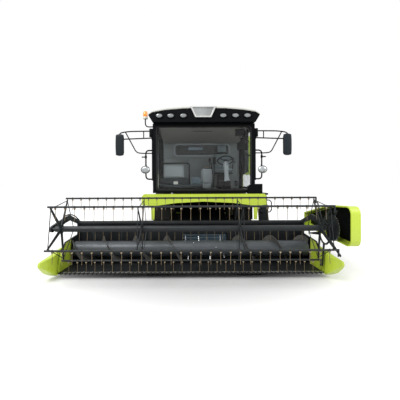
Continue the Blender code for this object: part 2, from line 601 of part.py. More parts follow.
def mirrors():
    """On each front pillar: two mirror tubes with a brace, a grab loop, and a lamp on the loop."""
    pillar, arm_y = CAB_HALF + 0.001, CAB_Y[0] + 0.04
    out, loop = MIRROR_ARM_OUT, LOOP_X
    for label, s in SIDES:
        rails = [pipe([(s * pillar, arm_y, z), (s * out, arm_y + 0.05, z - 0.02)], 0.013) for z in (2.76,
                                                                                                    2.61)]
        rails.append(pipe([(s * 1.70, arm_y + 0.042, 2.73), (s * 1.46, arm_y + 0.02, 2.31),
                           (s * 1.40, arm_y + 0.01, 2.28), (s * pillar, arm_y, 2.28)], 0.013))
        rails.append(pipe([(s * 1.30, arm_y + 0.014, 2.755), (s * 1.30, arm_y + 0.014, 2.60)], 0.011))
        rails.append(box(both(s, pillar + GAP, pillar + 0.05), (arm_y - 0.03, arm_y + 0.03), (2.56, 2.80)))
        rails.append(pipe([(s * pillar, arm_y, 2.34), (s * (loop - 0.06), arm_y - 0.01, 2.34),
                           (s * loop, arm_y - 0.015, 2.28), (s * loop, arm_y - 0.015, 1.78),
                           (s * (loop - 0.05), arm_y - 0.01, 1.72), (s * pillar, arm_y, 1.72)], 0.015))
        rails.append(rod((s * loop, arm_y - 0.10, LAMP_Z), (s * loop, arm_y + 0.03, LAMP_Z), 0.095, 12, 0.05))
        rails.append(box(both(s, pillar + 0.003, pillar + 0.02), (arm_y - 0.025, arm_y + 0.025),
                         (1.69, 2.58)))
        mirror = box(both(s, 1.73, 1.93), (arm_y + 0.02, arm_y + 0.08), (2.23, 2.70))
        inboard = box(both(s, 0, CAB_HALF + 0.0008), (-3, 0), (1, 3.2))
        node("mirror_" + label, "chassis", "black_paint", [mirror, *rails], [inboard])


# ------------------------------------------------------------------ feeder and header
def feeder():
    """The conveyor housing that the header hangs on, open at both ends."""
    body("header_lift", "chassis", (0, *FEEDER_PIVOT))
    t, back = FEEDER_WALL, -0.30
    front = AUGER[0] + TROUGH + 0.10
    low_front, high_front, low_back, high_back, knee = 0.17, 0.66, 0.84, 1.26, (-0.60, 0.64)
    outline = [(front, low_front), (front, high_front), (back, high_back), (back, low_back), knee]
    inside = [(front - 0.1, low_front + t), (front - 0.1, high_front - 2 * t), (back + 0.1, high_back),
              (back + 0.1, low_back + 3 * t), (knee[0] + t, knee[1] + 2 * t), (front + 0.05, low_front + t)]
    parts = [prism("X", (-FEEDER_HALF, FEEDER_HALF), outline)]
    parts.append(rod((-RAIL_IN + CLEAR, *FEEDER_PIVOT), (RAIL_IN - CLEAR, *FEEDER_PIVOT), 0.045, 10))
    for _, s in SIDES:
        lug = both(s, FEEDER_HALF - 0.02, LIFT_PIN_X - 0.04)
        parts.append(box(lug, (LIFT_EYE[0] - 0.06, LIFT_EYE[0] + 0.06),
                         (LIFT_EYE[1] - 0.06, LIFT_EYE[1] + 0.10)))
    node("feeder_house", "header_lift", "black_paint", parts,
         [prism("X", (-FEEDER_HALF + t, FEEDER_HALF - t), inside)])


def header():
    hx, half = HEADER_X, CUT_HALF
    ky, kz = KNIFE
    ay, az = AUGER
    t = SHEET
    wall_y = ay + TROUGH
    inner = [(ky - 0.02, kz), (ky + 0.22, kz), *arc((ay, az), TROUGH, -110, 0, 6), (wall_y, HEADER_TOP)]
    outer = [(wall_y + t, HEADER_TOP), *arc((ay, az), TROUGH + t, 0, -110, 6), (ky + 0.22, kz - t),
             (ky - 0.02, kz - t)]
    parts = [prism("X", (hx - half - 0.02, hx + half + 0.02), inner + outer)]
    end_sheet = [(ky, kz - 0.03), (ky - 0.01, 0.20), (ky + 0.12, 0.42), (-2.66, 0.56), (wall_y + 0.04, 0.61),
                 (wall_y + 0.05, 0.60), (wall_y + 0.05, 0.12), (ay, az - TROUGH - 0.035), (ky + 0.3,
                                                                                           kz - 0.035)]
    for s in (-1, 1):
        parts.append(prism("X", sorted((hx + s * half, hx + s * (half + 0.028))), end_sheet))
        post = sorted((hx + s * (half - 0.001), hx + s * (half + 0.026)))
        parts.append(box(post, (wall_y - 0.06, wall_y + 0.045), (0.58, HEADER_TOP + 0.02)))
        stay = sorted((hx + s * (half - 0.02), hx + s * (half + 0.02)))
        parts.append(box(stay, (wall_y + 0.02, wall_y + 0.07), (0.15, 0.60)))
    parts.append(rod((hx - half - 0.027, wall_y + 0.03, HEADER_TOP),
                     (hx + half + 0.027, wall_y + 0.03, HEADER_TOP),
                     0.05, 10))
    parts.append(box((hx - half - 0.01, hx + half + 0.01), (wall_y + 0.01, wall_y + 0.085), (0.13, 0.20)))
    parts.append(box((hx - half - 0.005, hx + half + 0.005), (ky - 0.05, ky + 0.03),
                     (kz - 0.012, kz + 0.008)))
    shoe = [(-2.97, 0.062), (-2.93, 0.07), (-2.82, 0.02), (-2.40, 0.02), (-2.24, 0.055), (-2.21, 0.045),
            (-2.38, 0.0), (-2.85, 0.0)]
    for centre in SKID_SHOES:
        parts.append(prism("X", (centre - 0.20, centre + 0.20), shoe))
        parts.append(box((centre - 0.18, centre + 0.18), (-2.55, -2.42), (0.01, 0.075)))
    mouth_half = FEEDER_HALF - 0.04
    mouth = box((-mouth_half, mouth_half), (wall_y - 0.2, wall_y + 0.2), (0.215, 0.60))
    node("header_frame", "header_lift", "dark_steel", parts, [mouth])

    # crop dividers: y, inner x, outer x, low z, high z, with x measured from the header's middle
    sections = ((-2.56, 2.33, 2.38, 0.08, 0.48), (-2.955, 2.33, 2.42, 0.04, 0.45),
                (-2.985, 2.29, 2.44, 0.05, 0.44),
                (-3.12, 2.30, 2.47, 0.12, 0.41), (-3.25, 2.36, 2.47, 0.22, 0.385), (-3.33, 2.42, 2.46, 0.29,
                                                                                    0.36))
    for label, s in SIDES:
        rings = []
        for y, x0, x1, z0, z1 in sections:
            a, b = hx + s * x0, hx + s * x1
            mid = hx + s * (0.5 * (x0 + x1) + 0.01)
            rings.append([(a, y, z0), (b, y, z0), (b, y, 0.6 * z0 + 0.4 * z1), (mid, y, z1), (a, y, z1)])
        node("divider_" + label, "header_lift", "lime_paint", [loft(rings)])

    body("header_auger", "header_lift", (hx, ay, az))
    length = half - 0.03
    flights = []
    for x in auger_flight_places(length):
        flights += [(AUGER_TUBE, x - 0.006), (AUGER_FLIGHT, x - 0.005), (AUGER_FLIGHT, x + 0.005),
                    (AUGER_TUBE, x + 0.006)]
    core = 0.04
    profile = [(core, -length), (AUGER_TUBE, -length), *flights, (AUGER_TUBE, length), (core, length)]
    node("header_auger", "header_auger", "dark_steel", [turned((hx, ay, az), profile, 16)])


def auger_flight_places(length):
    """Where each flight's turn stands along the auger: one every pitch, from both ends to the feeder."""
    ends = ((-length + 0.02, -HEADER_X - FEEDER_HALF, 1), (length - 0.02, -HEADER_X + FEEDER_HALF, -1))
    places = []
    for start, stop, step in ends:
        count = int(abs(stop - start) / AUGER_PITCH) + 1
        places += [start + step * AUGER_PITCH * i for i in range(count)]
    return sorted(places)


def reel():
    hx = HEADER_X
    ry, rz = REEL
    py, pz = REEL_ARM_PIVOT
    body("reel_lift", "header_lift", (hx, py, pz))
    parts = [rod((hx - CUT_HALF - 0.09, py, pz), (hx + CUT_HALF + 0.09, py, pz), 0.028, 8)]
    for _, s in SIDES:
        parts.append(prism("X", sorted((hx + s * (CUT_HALF + 0.05), hx + s * (CUT_HALF + 0.085))), [
            (py + 0.05, pz - 0.04), (py + 0.05, pz + 0.04), (-2.35, 1.02), (-2.55, 1.00), (ry + 0.02,
                                                                                           rz + 0.05),
            (ry - 0.05, rz + 0.02), (ry - 0.05, rz - 0.04), (ry + 0.02, rz - 0.06), (-2.52, 0.90), (-2.33,
                                                                                                    0.92)]))
    parts.append(box((hx + CUT_HALF + 0.08, hx + 2.575 - GAP), (-2.50, -2.42), (0.93, 0.97)))
    bores = [rod((hx - CUT_HALF - 0.2, ry, rz), (hx - CUT_HALF + 0.01, ry, rz), 0.027, 12),
             rod((hx + CUT_HALF - 0.01, ry, rz), (hx + CUT_HALF + 0.2, ry, rz), 0.027, 12)]
    node("reel_arms", "reel_lift", "dark_steel", parts, bores)

    def shield_outline(inset):
        """The drive shield's outline in (y, z), or the same outline a wall's thickness further in."""
        front, back, corner = ry - 0.48, py + 0.12, 0.12
        return [(back - inset, 1.00 - inset), (ry + 0.25, 1.23 - inset),
                *arc((front + corner, 1.14), corner - inset, 90, 180, 3),
                *arc((front + corner, 0.75), corner - inset, 180, 270, 3),
                (ry + 0.30, 0.66 + inset), (back - inset, 0.72 + inset)]

    inner, outer = hx + 2.44, hx + 2.59
    node("drive_shield", "reel_lift", "lime_paint", [prism("X", (inner, outer), shield_outline(0))],
         [prism("X", (inner - 0.1, outer - 0.015), shield_outline(0.022))])

    body("reel", "reel_lift", (hx, ry, rz))
    parts = [rod((hx - CUT_HALF + 0.005, ry, rz), (hx + CUT_HALF - 0.005, ry, rz), 0.05, 10)]
    parts.append(rod((hx - CUT_HALF - 0.075, ry, rz), (hx + CUT_HALF + 0.11, ry, rz), 0.020, 10))
    parts.append(rod((hx + CUT_HALF + 0.092, ry, rz), (hx + CUT_HALF + 0.112, ry, rz), 0.22, 16))
    tip = REEL_RADIUS - BAT / 2 - 0.008
    angles = [FIRST_BAT + 2 * math.pi * k / BAT_COUNT for k in range(BAT_COUNT)]
    for x in SPIDER_AT:
        hub = rod((hx + x - 0.012, ry, rz), (hx + x + 0.012, ry, rz), 0.085, 10)
        parts.append(hub)
        ends = []
        for a in angles:
            out = Vector((0, -math.cos(a), math.sin(a)))
            side = Vector((0, math.sin(a), math.cos(a)))
            centre = Vector((hx + x, ry, rz))
            ring = []
            for reach, wide in ((0.05, 0.035), (tip, 0.016)):
                ring.append([tuple(centre + reach * out + w * side + Vector((dx, 0, 0)))
                             for w, dx in ((-wide, -0.006), (wide, -0.006), (wide, 0.006), (-wide, 0.006))])
            parts.append(loft(ring))
            ends.append(centre + (tip - 0.02) * out)
        for a, b in zip(ends, ends[1:] + ends[:1]):
            parts.append(rod(tuple(a), tuple(b), 0.007, 4))
    node("reel_frame", "reel", "dark_steel", parts)

    drop = ECCENTRIC_DROP
    body("eccentric", "reel_lift", (hx, ry, rz - drop))
    plane = hx + REEL_HALF + 0.040
    centre = Vector((plane, ry, rz - drop))
    ring = [(0.165, -0.006), (0.165, 0.006), (0.195, 0.006), (0.195, -0.006)]
    parts = [turned(tuple(centre), ring, 16)]
    for a in angles:
        out = Vector((0, -math.cos(a), math.sin(a)))
        side = Vector((0, math.sin(a), math.cos(a)))
        rings = []
        for reach, wide in ((0.18, 0.03), (REEL_RADIUS + 0.015, 0.014)):
            rings.append([tuple(centre + reach * out + w * side + Vector((dx, 0, 0)))
                          for w, dx in ((-wide, -0.005), (wide, -0.005), (wide, 0.005), (-wide, 0.005))])
        parts.append(loft(rings))
    node("eccentric_spider", "eccentric", "dark_steel", parts)

    for k, a in enumerate(angles, 1):
        at = (ry - REEL_RADIUS * math.cos(a), rz + REEL_RADIUS * math.sin(a))
        body(f"bat_{k}", "reel", (hx, *at))
        node(f"bat_{k}", f"bat_{k}", "tine_wire", bat_shape(hx, *at))


def bat_shape(hx, y, z):
    """A square tube with a row of tines that hang from its lower face, and a crank at its left end."""
    h, w = BAT / 2, 0.005
    first = -TINE_PITCH * (TINE_COUNT - 1) / 2
    stations = [-REEL_HALF]
    for i in range(TINE_COUNT):
        x = first + TINE_PITCH * i
        stations += [x - w, x + w]
    stations.append(REEL_HALF)
    points, faces = [], []
    for x in stations:
        points += [(hx + x, y - h, z - h), (hx + x, y + h, z - h), (hx + x, y + h, z + h),
                   (hx + x, y - h, z + h)]
    for i in range(len(stations) - 1):
        a, b = 4 * i, 4 * i + 4
        for k in range(4):
            j = (k + 1) % 4
            if k == 0 and i % 2:
                tips = len(points)
                x0, x1, low = hx + stations[i], hx + stations[i + 1], z - h - TINE_LONG
                points += [(x0, y - 0.008, low), (x0, y + 0.004, low), (x1, y + 0.004, low),
                           (x1, y - 0.008, low)]
                corners = (a, a + 1, b + 1, b)
                for c in range(4):
                    d = (c + 1) % 4
                    faces.append((corners[c], corners[d], tips + d, tips + c))
                faces.append((tips, tips + 1, tips + 2, tips + 3))
            else:
                faces.append((a + k, a + j, b + j, b + k))
    faces += [(0, 1, 2, 3), tuple(range(len(stations) * 4 - 4, len(stations) * 4))]
    crank = box((hx + REEL_HALF - 0.004, hx + REEL_HALF + 0.024), (y - 0.012, y + 0.012),
                (z - ECCENTRIC_DROP - 0.014, z + 0.010))
    return [(points, faces), crank]


# ------------------------------------------------------------------ cylinders
def cylinder(name, base_body, x, start, end, bore, reach):
    """A barrel that swings on its foot pin and a rod that slides out of it to a pin at end: (y, z) pairs."""
    foot, eye = Vector((x, *start)), Vector((x, *end))
    along = (eye - foot).normalized()
    body(name + "_barrel", base_body, tuple(foot))
    mouth = foot + reach * along
    lug = 0.02
    node(name + "_barrel", name + "_barrel", "black_paint", [
        rod(tuple(foot + 0.03 * along), tuple(mouth), bore, 10),
        rod((x - lug, *start), (x + lug, *start), bore * 0.85, 10)],
        [rod(tuple(foot + 0.09 * along), tuple(mouth + 0.1 * along), bore * 0.62, 10)])
    body(name + "_rod", name + "_barrel", tuple(mouth))
    node(name + "_rod", name + "_rod", "bright_steel", [
        rod(tuple(foot + (0.55 * reach) * along), tuple(eye - 0.01 * along), bore * 0.45, 8),
        rod((x - lug, *end), (x + lug, *end), bore * 0.80, 10)])


def cylinders():
    for label, s in SIDES:
        cylinder("header_lift_" + label, "chassis", s * LIFT_PIN_X, LIFT_FOOT, LIFT_EYE, 0.042, 0.80)


def place_on_origin():
    """Moves the machine so that the origin is under the middle of its outline."""
    bpy.context.view_layer.update()
    graph = bpy.context.evaluated_depsgraph_get()
    low, high = Vector((1e9,) * 3), Vector((-1e9,) * 3)
    for obj in bpy.data.objects:
        if obj.type != "MESH" or obj.hide_render:
            continue
        for vertex in obj.evaluated_get(graph).data.vertices:
            world = obj.matrix_world @ vertex.co
            low = Vector(map(min, low, world))
            high = Vector(map(max, high, world))
    middle = (low + high) / 2
    bpy.data.objects["body_chassis"].location = (-middle.x, -middle.y, -low.z)


def main():
    clear_scene()
    body("chassis", None, (0, 0, 0))
    running_gear()
    chassis()
    grain_tank()
    rear_body()
    unloading_tube()
    cab()
    roof()
    cowl()
    cab_inside()
    boarding()
    mirrors()
    feeder()
    header()
    reel()
    cylinders()
    place_on_origin()


main()
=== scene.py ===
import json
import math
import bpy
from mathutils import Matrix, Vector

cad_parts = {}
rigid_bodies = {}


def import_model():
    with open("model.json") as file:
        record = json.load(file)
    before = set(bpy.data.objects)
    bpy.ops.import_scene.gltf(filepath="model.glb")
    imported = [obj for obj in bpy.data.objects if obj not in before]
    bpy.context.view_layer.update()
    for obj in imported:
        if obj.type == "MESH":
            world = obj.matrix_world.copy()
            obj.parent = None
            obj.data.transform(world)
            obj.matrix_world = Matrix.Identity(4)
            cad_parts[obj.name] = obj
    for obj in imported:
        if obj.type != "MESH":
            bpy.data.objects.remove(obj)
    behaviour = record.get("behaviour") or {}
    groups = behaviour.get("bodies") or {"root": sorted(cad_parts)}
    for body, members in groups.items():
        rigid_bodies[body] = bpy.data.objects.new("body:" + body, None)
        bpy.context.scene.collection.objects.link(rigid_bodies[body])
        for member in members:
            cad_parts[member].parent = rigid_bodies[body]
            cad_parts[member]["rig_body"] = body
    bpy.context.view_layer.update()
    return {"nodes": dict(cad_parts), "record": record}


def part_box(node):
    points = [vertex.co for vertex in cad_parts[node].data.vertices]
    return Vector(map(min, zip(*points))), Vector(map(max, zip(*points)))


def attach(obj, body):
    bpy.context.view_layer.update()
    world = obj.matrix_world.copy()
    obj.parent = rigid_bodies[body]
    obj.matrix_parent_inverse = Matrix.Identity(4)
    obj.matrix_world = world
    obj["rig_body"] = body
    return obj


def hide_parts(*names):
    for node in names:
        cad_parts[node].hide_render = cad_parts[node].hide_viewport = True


bl_info = {
    "name": "Combine Harvester Finish",
    "version": (1, 0, 0),
    "blender": (4, 5, 0),
    "location": "3D View > Sidebar > Harvester",
    "description": "Dresses the packed frame of a combine harvester: paint, glass, tyres, reel, auger and cab fittings",
    "category": "Object",
}

import bmesh
import bpy
import numpy as np
from mathutils import Vector

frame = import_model()
JOINTS = {joint["name"]: joint for joint in frame["record"]["behaviour"]["joints"]}

# Shapes are worked out in the machine's own axes: X = 0 in the middle of the cab with +X to its left,
# Y = 0 at the front axle with the front at -Y, and Z = 0 on the ground. ORIGIN is where that point is.
ORIGIN = np.array([sum(corner[0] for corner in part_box("windshield")) / 2,
                   JOINTS["front_wheel_left_spin"]["pos_m"][1], 0.0])


def corners(node):
    """The lowest and highest corner of a node's box, in the machine's axes."""
    low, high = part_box(node)
    return np.array(low) - ORIGIN, np.array(high) - ORIGIN


def pin(joint):
    """A point on a hinge's axis, in the machine's axes."""
    return np.array(JOINTS[joint]["pos_m"]) - ORIGIN


HEADER_X = pin("reel_spin")[0]
SIDES = (("left", 1), ("right", -1))


# ---------------------------------------------------------------- settings
class HarvesterPaint(bpy.types.PropertyGroup):
    """Colours of the machine's finishes."""

    body: bpy.props.FloatVectorProperty(
        name="Body paint", description="Paint of the sheet metal body", subtype="COLOR",
        size=3, default=(0.55, 0.70, 0.055), min=0, max=1)
    steel: bpy.props.FloatVectorProperty(
        name="Header paint", description="Paint of the header and the reel", subtype="COLOR",
        size=3, default=(0.024, 0.028, 0.031), min=0, max=1)
    roof: bpy.props.FloatVectorProperty(
        name="Roof cap", description="Moulded cap over the cab", subtype="COLOR",
        size=3, default=(0.56, 0.56, 0.52), min=0, max=1)
    dust: bpy.props.FloatVectorProperty(
        name="Dust", description="Dust that settles low on the machine", subtype="COLOR",
        size=3, default=(0.30, 0.25, 0.17), min=0, max=1)


class HarvesterSizes(bpy.types.PropertyGroup):
    """Sizes of the fittings that the frame doesn't fix."""

    lug_height: bpy.props.FloatProperty(
        name="Lug height", description="How far tread lugs stand out of the carcass",
        default=0.038, min=0.01, max=0.06, unit="LENGTH")
    lug_count: bpy.props.IntProperty(
        name="Lugs", description="Lugs on each side of a tyre", default=20, min=12, max=30)
    tine_thickness: bpy.props.FloatProperty(
        name="Tine wire", description="Diameter of a reel tine's wire",
        default=0.0075, min=0.004, max=0.012, unit="LENGTH")
    finger_pitch: bpy.props.FloatProperty(
        name="Finger pitch", description="Distance between the knife's guard fingers",
        default=0.0762, min=0.05, max=0.11, unit="LENGTH")
    flight_pitch: bpy.props.FloatProperty(
        name="Flight pitch", description="Length of one turn of the cross auger's flighting",
        default=0.62, min=0.4, max=0.8, unit="LENGTH")
    camera_distance: bpy.props.FloatProperty(
        name="Camera distance", description="Camera's distance in front of the front axle",
        default=7.90, min=4, max=30, unit="LENGTH")


# ---------------------------------------------------------------- shapes
def grid(points, wrap_u=False, wrap_v=False):
    """Quads over a grid of points[u, v]; a wrapped direction joins its last line to its first."""
    nu, nv = points.shape[:2]
    u = np.arange(nu if wrap_u else nu - 1)
    v = np.arange(nv if wrap_v else nv - 1)
    a, b = np.meshgrid(u, v, indexing="ij")
    a2, b2 = (a + 1) % nu, (b + 1) % nv
    quads = np.stack([a * nv + b, a2 * nv + b, a2 * nv + b2, a * nv + b2], -1)
    return points.reshape(-1, 3), quads.reshape(-1, 4)


def join(parts):
    """Several (points, quads) as one."""
    points, faces, start = [], [], 0
    for part_points, part_faces in parts:
        points.append(part_points)
        faces.append(part_faces + start)
        start += len(part_points)
    return np.concatenate(points), np.concatenate(faces)


def copies(part, moves, turns=None):
    """A part repeated: each copy is turn @ point + move, for rows of moves and matrices of turns."""
    points, faces = part
    moves = np.asarray(moves, float)
    placed = points[None] if turns is None else np.einsum("nij,pj->npi", np.asarray(turns), points)
    placed = placed + moves[:, None]
    step = len(points) * np.arange(len(moves))
    return placed.reshape(-1, 3), (faces[None] + step[:, None, None]).reshape(-1, 4)


def turns_about(axis, angles):
    """Rotation matrices about X, Y or Z for an array of angles."""
    angles = np.atleast_1d(np.asarray(angles, float))
    c, s, o, l = np.cos(angles), np.sin(angles), np.zeros_like(angles), np.ones_like(angles)
    rows = {"X": [[l, o, o], [o, c, -s], [o, s, c]], "Y": [[c, o, s], [o, l, o], [-s, o, c]],
            "Z": [[c, -s, o], [s, c, o], [o, o, l]]}[axis]
    return np.array(rows).transpose(2, 0, 1)


def soft_box(low, high, radius=0.01, across=4):
    """A block with rounded edges: each point of a sphere, moved out by the block's half size less the radius."""
    low, high = np.minimum(low, high).astype(float), np.maximum(low, high).astype(float)
    radius = min(radius, 0.49 * (high - low).min())
    theta = (np.arange(4 * across) + 0.5) * np.pi / (2 * across)
    phi = np.linspace(-np.pi / 2, np.pi / 2, 2 * across + 2)
    phi[1:-1] = np.linspace(-np.pi / 2 * 0.94, np.pi / 2 * 0.94, 2 * across)
    t, p = np.meshgrid(theta, phi, indexing="ij")
    normal = np.stack([np.cos(p) * np.cos(t), np.cos(p) * np.sin(t), np.sin(p)], -1)
    half = (high - low) / 2
    out = normal * radius + np.sign(np.round(normal, 9)) * (half - radius)
    out[:, [0, -1], :2] = 0
    return grid((low + high) / 2 + out, wrap_u=True)


def tube(route, radius, sides=10, closed=False):
    """A round bar along a route: a circle in the plane square to the route's direction at each point."""
    route = np.asarray(route, float)
    if closed:
        along = np.roll(route, -1, 0) - np.roll(route, 1, 0)
    else:
        along = np.gradient(route, axis=0)
    along /= np.linalg.norm(along, axis=1, keepdims=True)
    spread = np.abs(along).max(0)
    up = np.eye(3)[int(np.argmin(spread))]
    side = np.cross(along, up)
    side /= np.linalg.norm(side, axis=1, keepdims=True)
    other = np.cross(along, side)
    angle = np.arange(sides) * 2 * np.pi / sides
    radius = np.broadcast_to(np.asarray(radius, float), (len(route),))[:, None, None]
    ring = side[:, None] * np.cos(angle)[None, :, None] + other[:, None] * np.sin(angle)[None, :, None]
    points = route[:, None] + radius * ring
    if closed:
        return grid(points, True, True)
    caps = [np.repeat(route[[0]], sides, 0)[None], np.repeat(route[[-1]], sides, 0)[None]]
    return grid(np.concatenate([caps[0], points, caps[1]]), wrap_v=True)


def bend(corners, radius, steps=6):
    """A route with its corners rounded: a quadratic curve from radius before each corner to radius after it."""
    corners = np.asarray(corners, float)
    route = [corners[0]]
    for before, at, after in zip(corners, corners[1:], corners[2:]):
        t = np.linspace(0, 1, steps)[:, None]
        start = at + (before - at) / np.linalg.norm(before - at) * min(radius, 0.49 * np.linalg.norm(before - at))
        end = at + (after - at) / np.linalg.norm(after - at) * min(radius, 0.49 * np.linalg.norm(after - at))
        route.extend((1 - t) ** 2 * start + 2 * t * (1 - t) * at + t ** 2 * end)
    route.append(corners[-1])
    return np.array(route)


def turned(profile, centre=(0, 0, 0), axis="X", steps=48, ring=False):
    """A profile of (radius, along) turned about an axis through centre. Its ends close where their radius is 0,
    and a ring's profile joins its last point to its first."""
    profile = np.asarray(profile, float)
    angle = np.arange(steps) * 2 * np.pi / steps
    r, along = profile[:, 0], profile[:, 1]
    c, s = np.cos(angle)[:, None] * r, np.sin(angle)[:, None] * r
    a = np.broadcast_to(along, c.shape)
    order = {"X": (a, c, s), "Y": (s, a, c), "Z": (c, s, a)}[axis]
    return grid(np.stack(order, -1) + np.asarray(centre), wrap_u=True, wrap_v=ring)


def in_plane(outline, at, axis):
    """A flat outline as points in space, in the plane square to the axis."""
    outline = np.asarray(outline, float)
    t = np.full(len(outline), float(at))
    one, two = outline.T
    return np.stack({"X": (t, one, two), "Y": (one, t, two), "Z": (one, two, t)}[axis], -1)


def lofted(rings):
    """A skin over rings[i, point], closed by drawing the first and last ring in to their middles."""
    rings = np.asarray(rings, float)
    ends = np.repeat(rings[[0, -1]].mean(1, keepdims=True), rings.shape[1], 1)
    return grid(np.concatenate([ends[:1], rings, ends[1:]]), wrap_v=True)


def plate(outline, span, axis="Y"):
    """A flat plate with this outline, between two places along the axis."""
    return lofted([in_plane(outline, at, axis) for at in span])


def ring_plate(outer, inner, span, axis="Y"):
    """A flat plate with a hole: two outlines with as many points each, between two places along the axis."""
    return grid(np.array([in_plane(outer, span[0], axis), in_plane(outer, span[1], axis),
                          in_plane(inner, span[1], axis), in_plane(inner, span[0], axis)]), True, True)


def helicoid(x, at, inner, outer, turns, hand):
    """A flight along X: its angle grows evenly with x, and its section is a 4 mm strip from inner to outer."""
    angle = hand * np.linspace(0, 2 * np.pi * turns, len(x)) + 2.2
    return lofted(np.stack([np.stack([x + dx, at[1] + r * np.cos(angle), at[2] + r * np.sin(angle)], -1)
                            for r, dx in ((inner, -0.003), (outer, -0.002), (outer, 0.002), (inner, 0.003))], 1))


def rounded(a, b, radius, steps=6):
    """A rectangle's outline from (low, high) spans, its corners quarter circles."""
    turn = np.linspace(0, np.pi / 2, steps)
    centres = ((a[1] - radius, b[1] - radius, 0), (a[0] + radius, b[1] - radius, 1),
               (a[0] + radius, b[0] + radius, 2), (a[1] - radius, b[0] + radius, 3))
    return np.concatenate([np.stack([x + radius * np.cos(turn + k * np.pi / 2),
                                     z + radius * np.sin(turn + k * np.pi / 2)], -1) for x, z, k in centres])


def pad(low, high, face="Z", across=(), along=(), power=6, round_by=0.12, steps=25):
    """A stuffed cushion and the route of its welt. Over u and v from -1 to 1 its two faces stand at
    +-(1 - |u|^power)^(1/3) (1 - |v|^power)^(1/3), its sides pull in by 3% between the corners, a square
    outline turns towards an ellipse as round_by nears 1, and a sewn channel is a bell-shaped dip."""
    low, high = np.asarray(low, float), np.asarray(high, float)
    line = np.sin(np.linspace(-np.pi / 2, np.pi / 2, steps))
    u, v = np.meshgrid(line, line, indexing="ij")
    rise = ((1 - np.abs(u) ** power) * (1 - np.abs(v) ** power)) ** (1 / 3) * (0.90 + 0.10 * (1 - u * u) * (1 - v * v))
    dip = sum((np.exp(-((u - c) / 0.07) ** 2) for c in across), np.zeros_like(u))
    dip = dip + sum((np.exp(-((v - c) / 0.07) ** 2) for c in along), np.zeros_like(u))
    rise = rise * (1 - 0.13 * dip)
    side = [one * (1 - 0.03 * (1 - two * two)) * np.sqrt(1 - round_by * two * two / 2) for one, two in ((u, v), (v, u))]
    unit = np.concatenate([np.stack([*side, rise], -1), np.stack([*side, -rise], -1)[::-1]])
    edge = np.concatenate([unit[:steps, 0], unit[steps - 1, 1:], unit[steps - 2::-1, -1], unit[0, -2:0:-1]])
    order = {"Z": (0, 1, 2), "Y": (0, 2, 1), "X": (2, 0, 1)}[face]
    place = (low + high) / 2, (high - low) / 2
    points, faces = grid(unit[..., order], wrap_u=True)
    return (place[0] + points * place[1], faces), place[0] + edge[:, order] * place[1]


def scaled(part, size, move=(0, 0, 0)):
    """A part stretched along the axes and then moved."""
    return part[0] * np.asarray(size, float) + np.asarray(move, float), part[1]


def mirrored(part):
    """A part on the other side of the cab's middle."""
    return part[0] * [-1, 1, 1], part[1]


def sided(part, side):
    return part if side > 0 else mirrored(part)


def make(name, parts, body, finish, replaces=(), bevel=0.0):
    """Builds one piece from its parts, rides it on its body and gives it its material."""
    points, faces = join(parts if isinstance(parts, list) else [parts])
    mesh = bpy.data.meshes.new(name)
    mesh.from_pydata(points + ORIGIN, [], faces)
    work = bmesh.new()
    work.from_mesh(mesh)
    bmesh.ops.remove_doubles(work, verts=work.verts, dist=1e-5)
    bmesh.ops.dissolve_degenerate(work, edges=work.edges, dist=1e-6)
    bmesh.ops.recalc_face_normals(work, faces=work.faces)
    work.to_mesh(mesh)
    work.free()
    return finish_piece(name, mesh, body, finish, replaces, bevel)


def finish_piece(name, mesh, body, finish, replaces, bevel):
    """Smooth shading, an optional bevel, the material, the body and what the piece stands for."""
    obj = bpy.data.objects.new(name, mesh)
    bpy.context.scene.collection.objects.link(obj)
    mesh.shade_smooth()
    mesh.set_sharp_from_angle(angle=SHARP)
    if bevel:
        modifier = obj.modifiers.new("edge", "BEVEL")
        modifier.width, modifier.segments = bevel, 2
        modifier.limit_method, modifier.angle_limit = "ANGLE", SHARP
        modifier.harden_normals = True
    mesh.materials.clear()
    mesh.materials.append(MATERIALS[finish])
    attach(obj, body)
    if replaces:
        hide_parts(*replaces)
    return obj


def softened(node, width):
    """A copy of a node's panel with its flat faces joined and its edges rounded, which stands for the node."""
    source = frame["nodes"][node]
    mesh = source.data.copy()
    mesh.name = node + "_panel"
    work = bmesh.new()
    work.from_mesh(mesh)
    bmesh.ops.remove_doubles(work, verts=work.verts, dist=1e-5)
    bmesh.ops.dissolve_limit(work, angle_limit=math.radians(1), verts=work.verts, edges=work.edges)
    work.to_mesh(mesh)
    work.free()
    slot = SLOT_OF_NODE[node]
    return finish_piece(node + "_panel", mesh, source["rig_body"], FINISH_OF_SLOT[slot], (node,), width)


# ---------------------------------------------------------------- shader groups
def socket_group(name, inputs, outputs):
    """A shader node group with (name, type, default) inputs and (name, type) outputs."""
    group = bpy.data.node_groups.new(name, "ShaderNodeTree")
    for label, kind, default in inputs:
        entry = group.interface.new_socket(name=label, in_out="INPUT", socket_type=kind)
        entry.default_value = default
    for label, kind in outputs:
        group.interface.new_socket(name=label, in_out="OUTPUT", socket_type=kind)
    return group, group.nodes.new("NodeGroupInput"), group.nodes.new("NodeGroupOutput")


def link(tree, source, target):
    tree.links.new(source, target)


def math_node(tree, operation, a, b=None, clamp=False):
    node = tree.nodes.new("ShaderNodeMath")
    node.operation = operation
    node.use_clamp = clamp
    for socket, value in zip(node.inputs, (a, b)):
        if value is None:
            continue
        if isinstance(value, (int, float)):
            socket.default_value = value
        else:
            link(tree, value, socket)
    return node.outputs[0]


def noise(tree, vector, scale, detail=3.0, rough=0.55):
    node = tree.nodes.new("ShaderNodeTexNoise")
    node.inputs["Scale"].default_value = scale
    node.inputs["Detail"].default_value = detail
    node.inputs["Roughness"].default_value = rough
    link(tree, vector, node.inputs["Vector"])
    return node.outputs["Fac"]


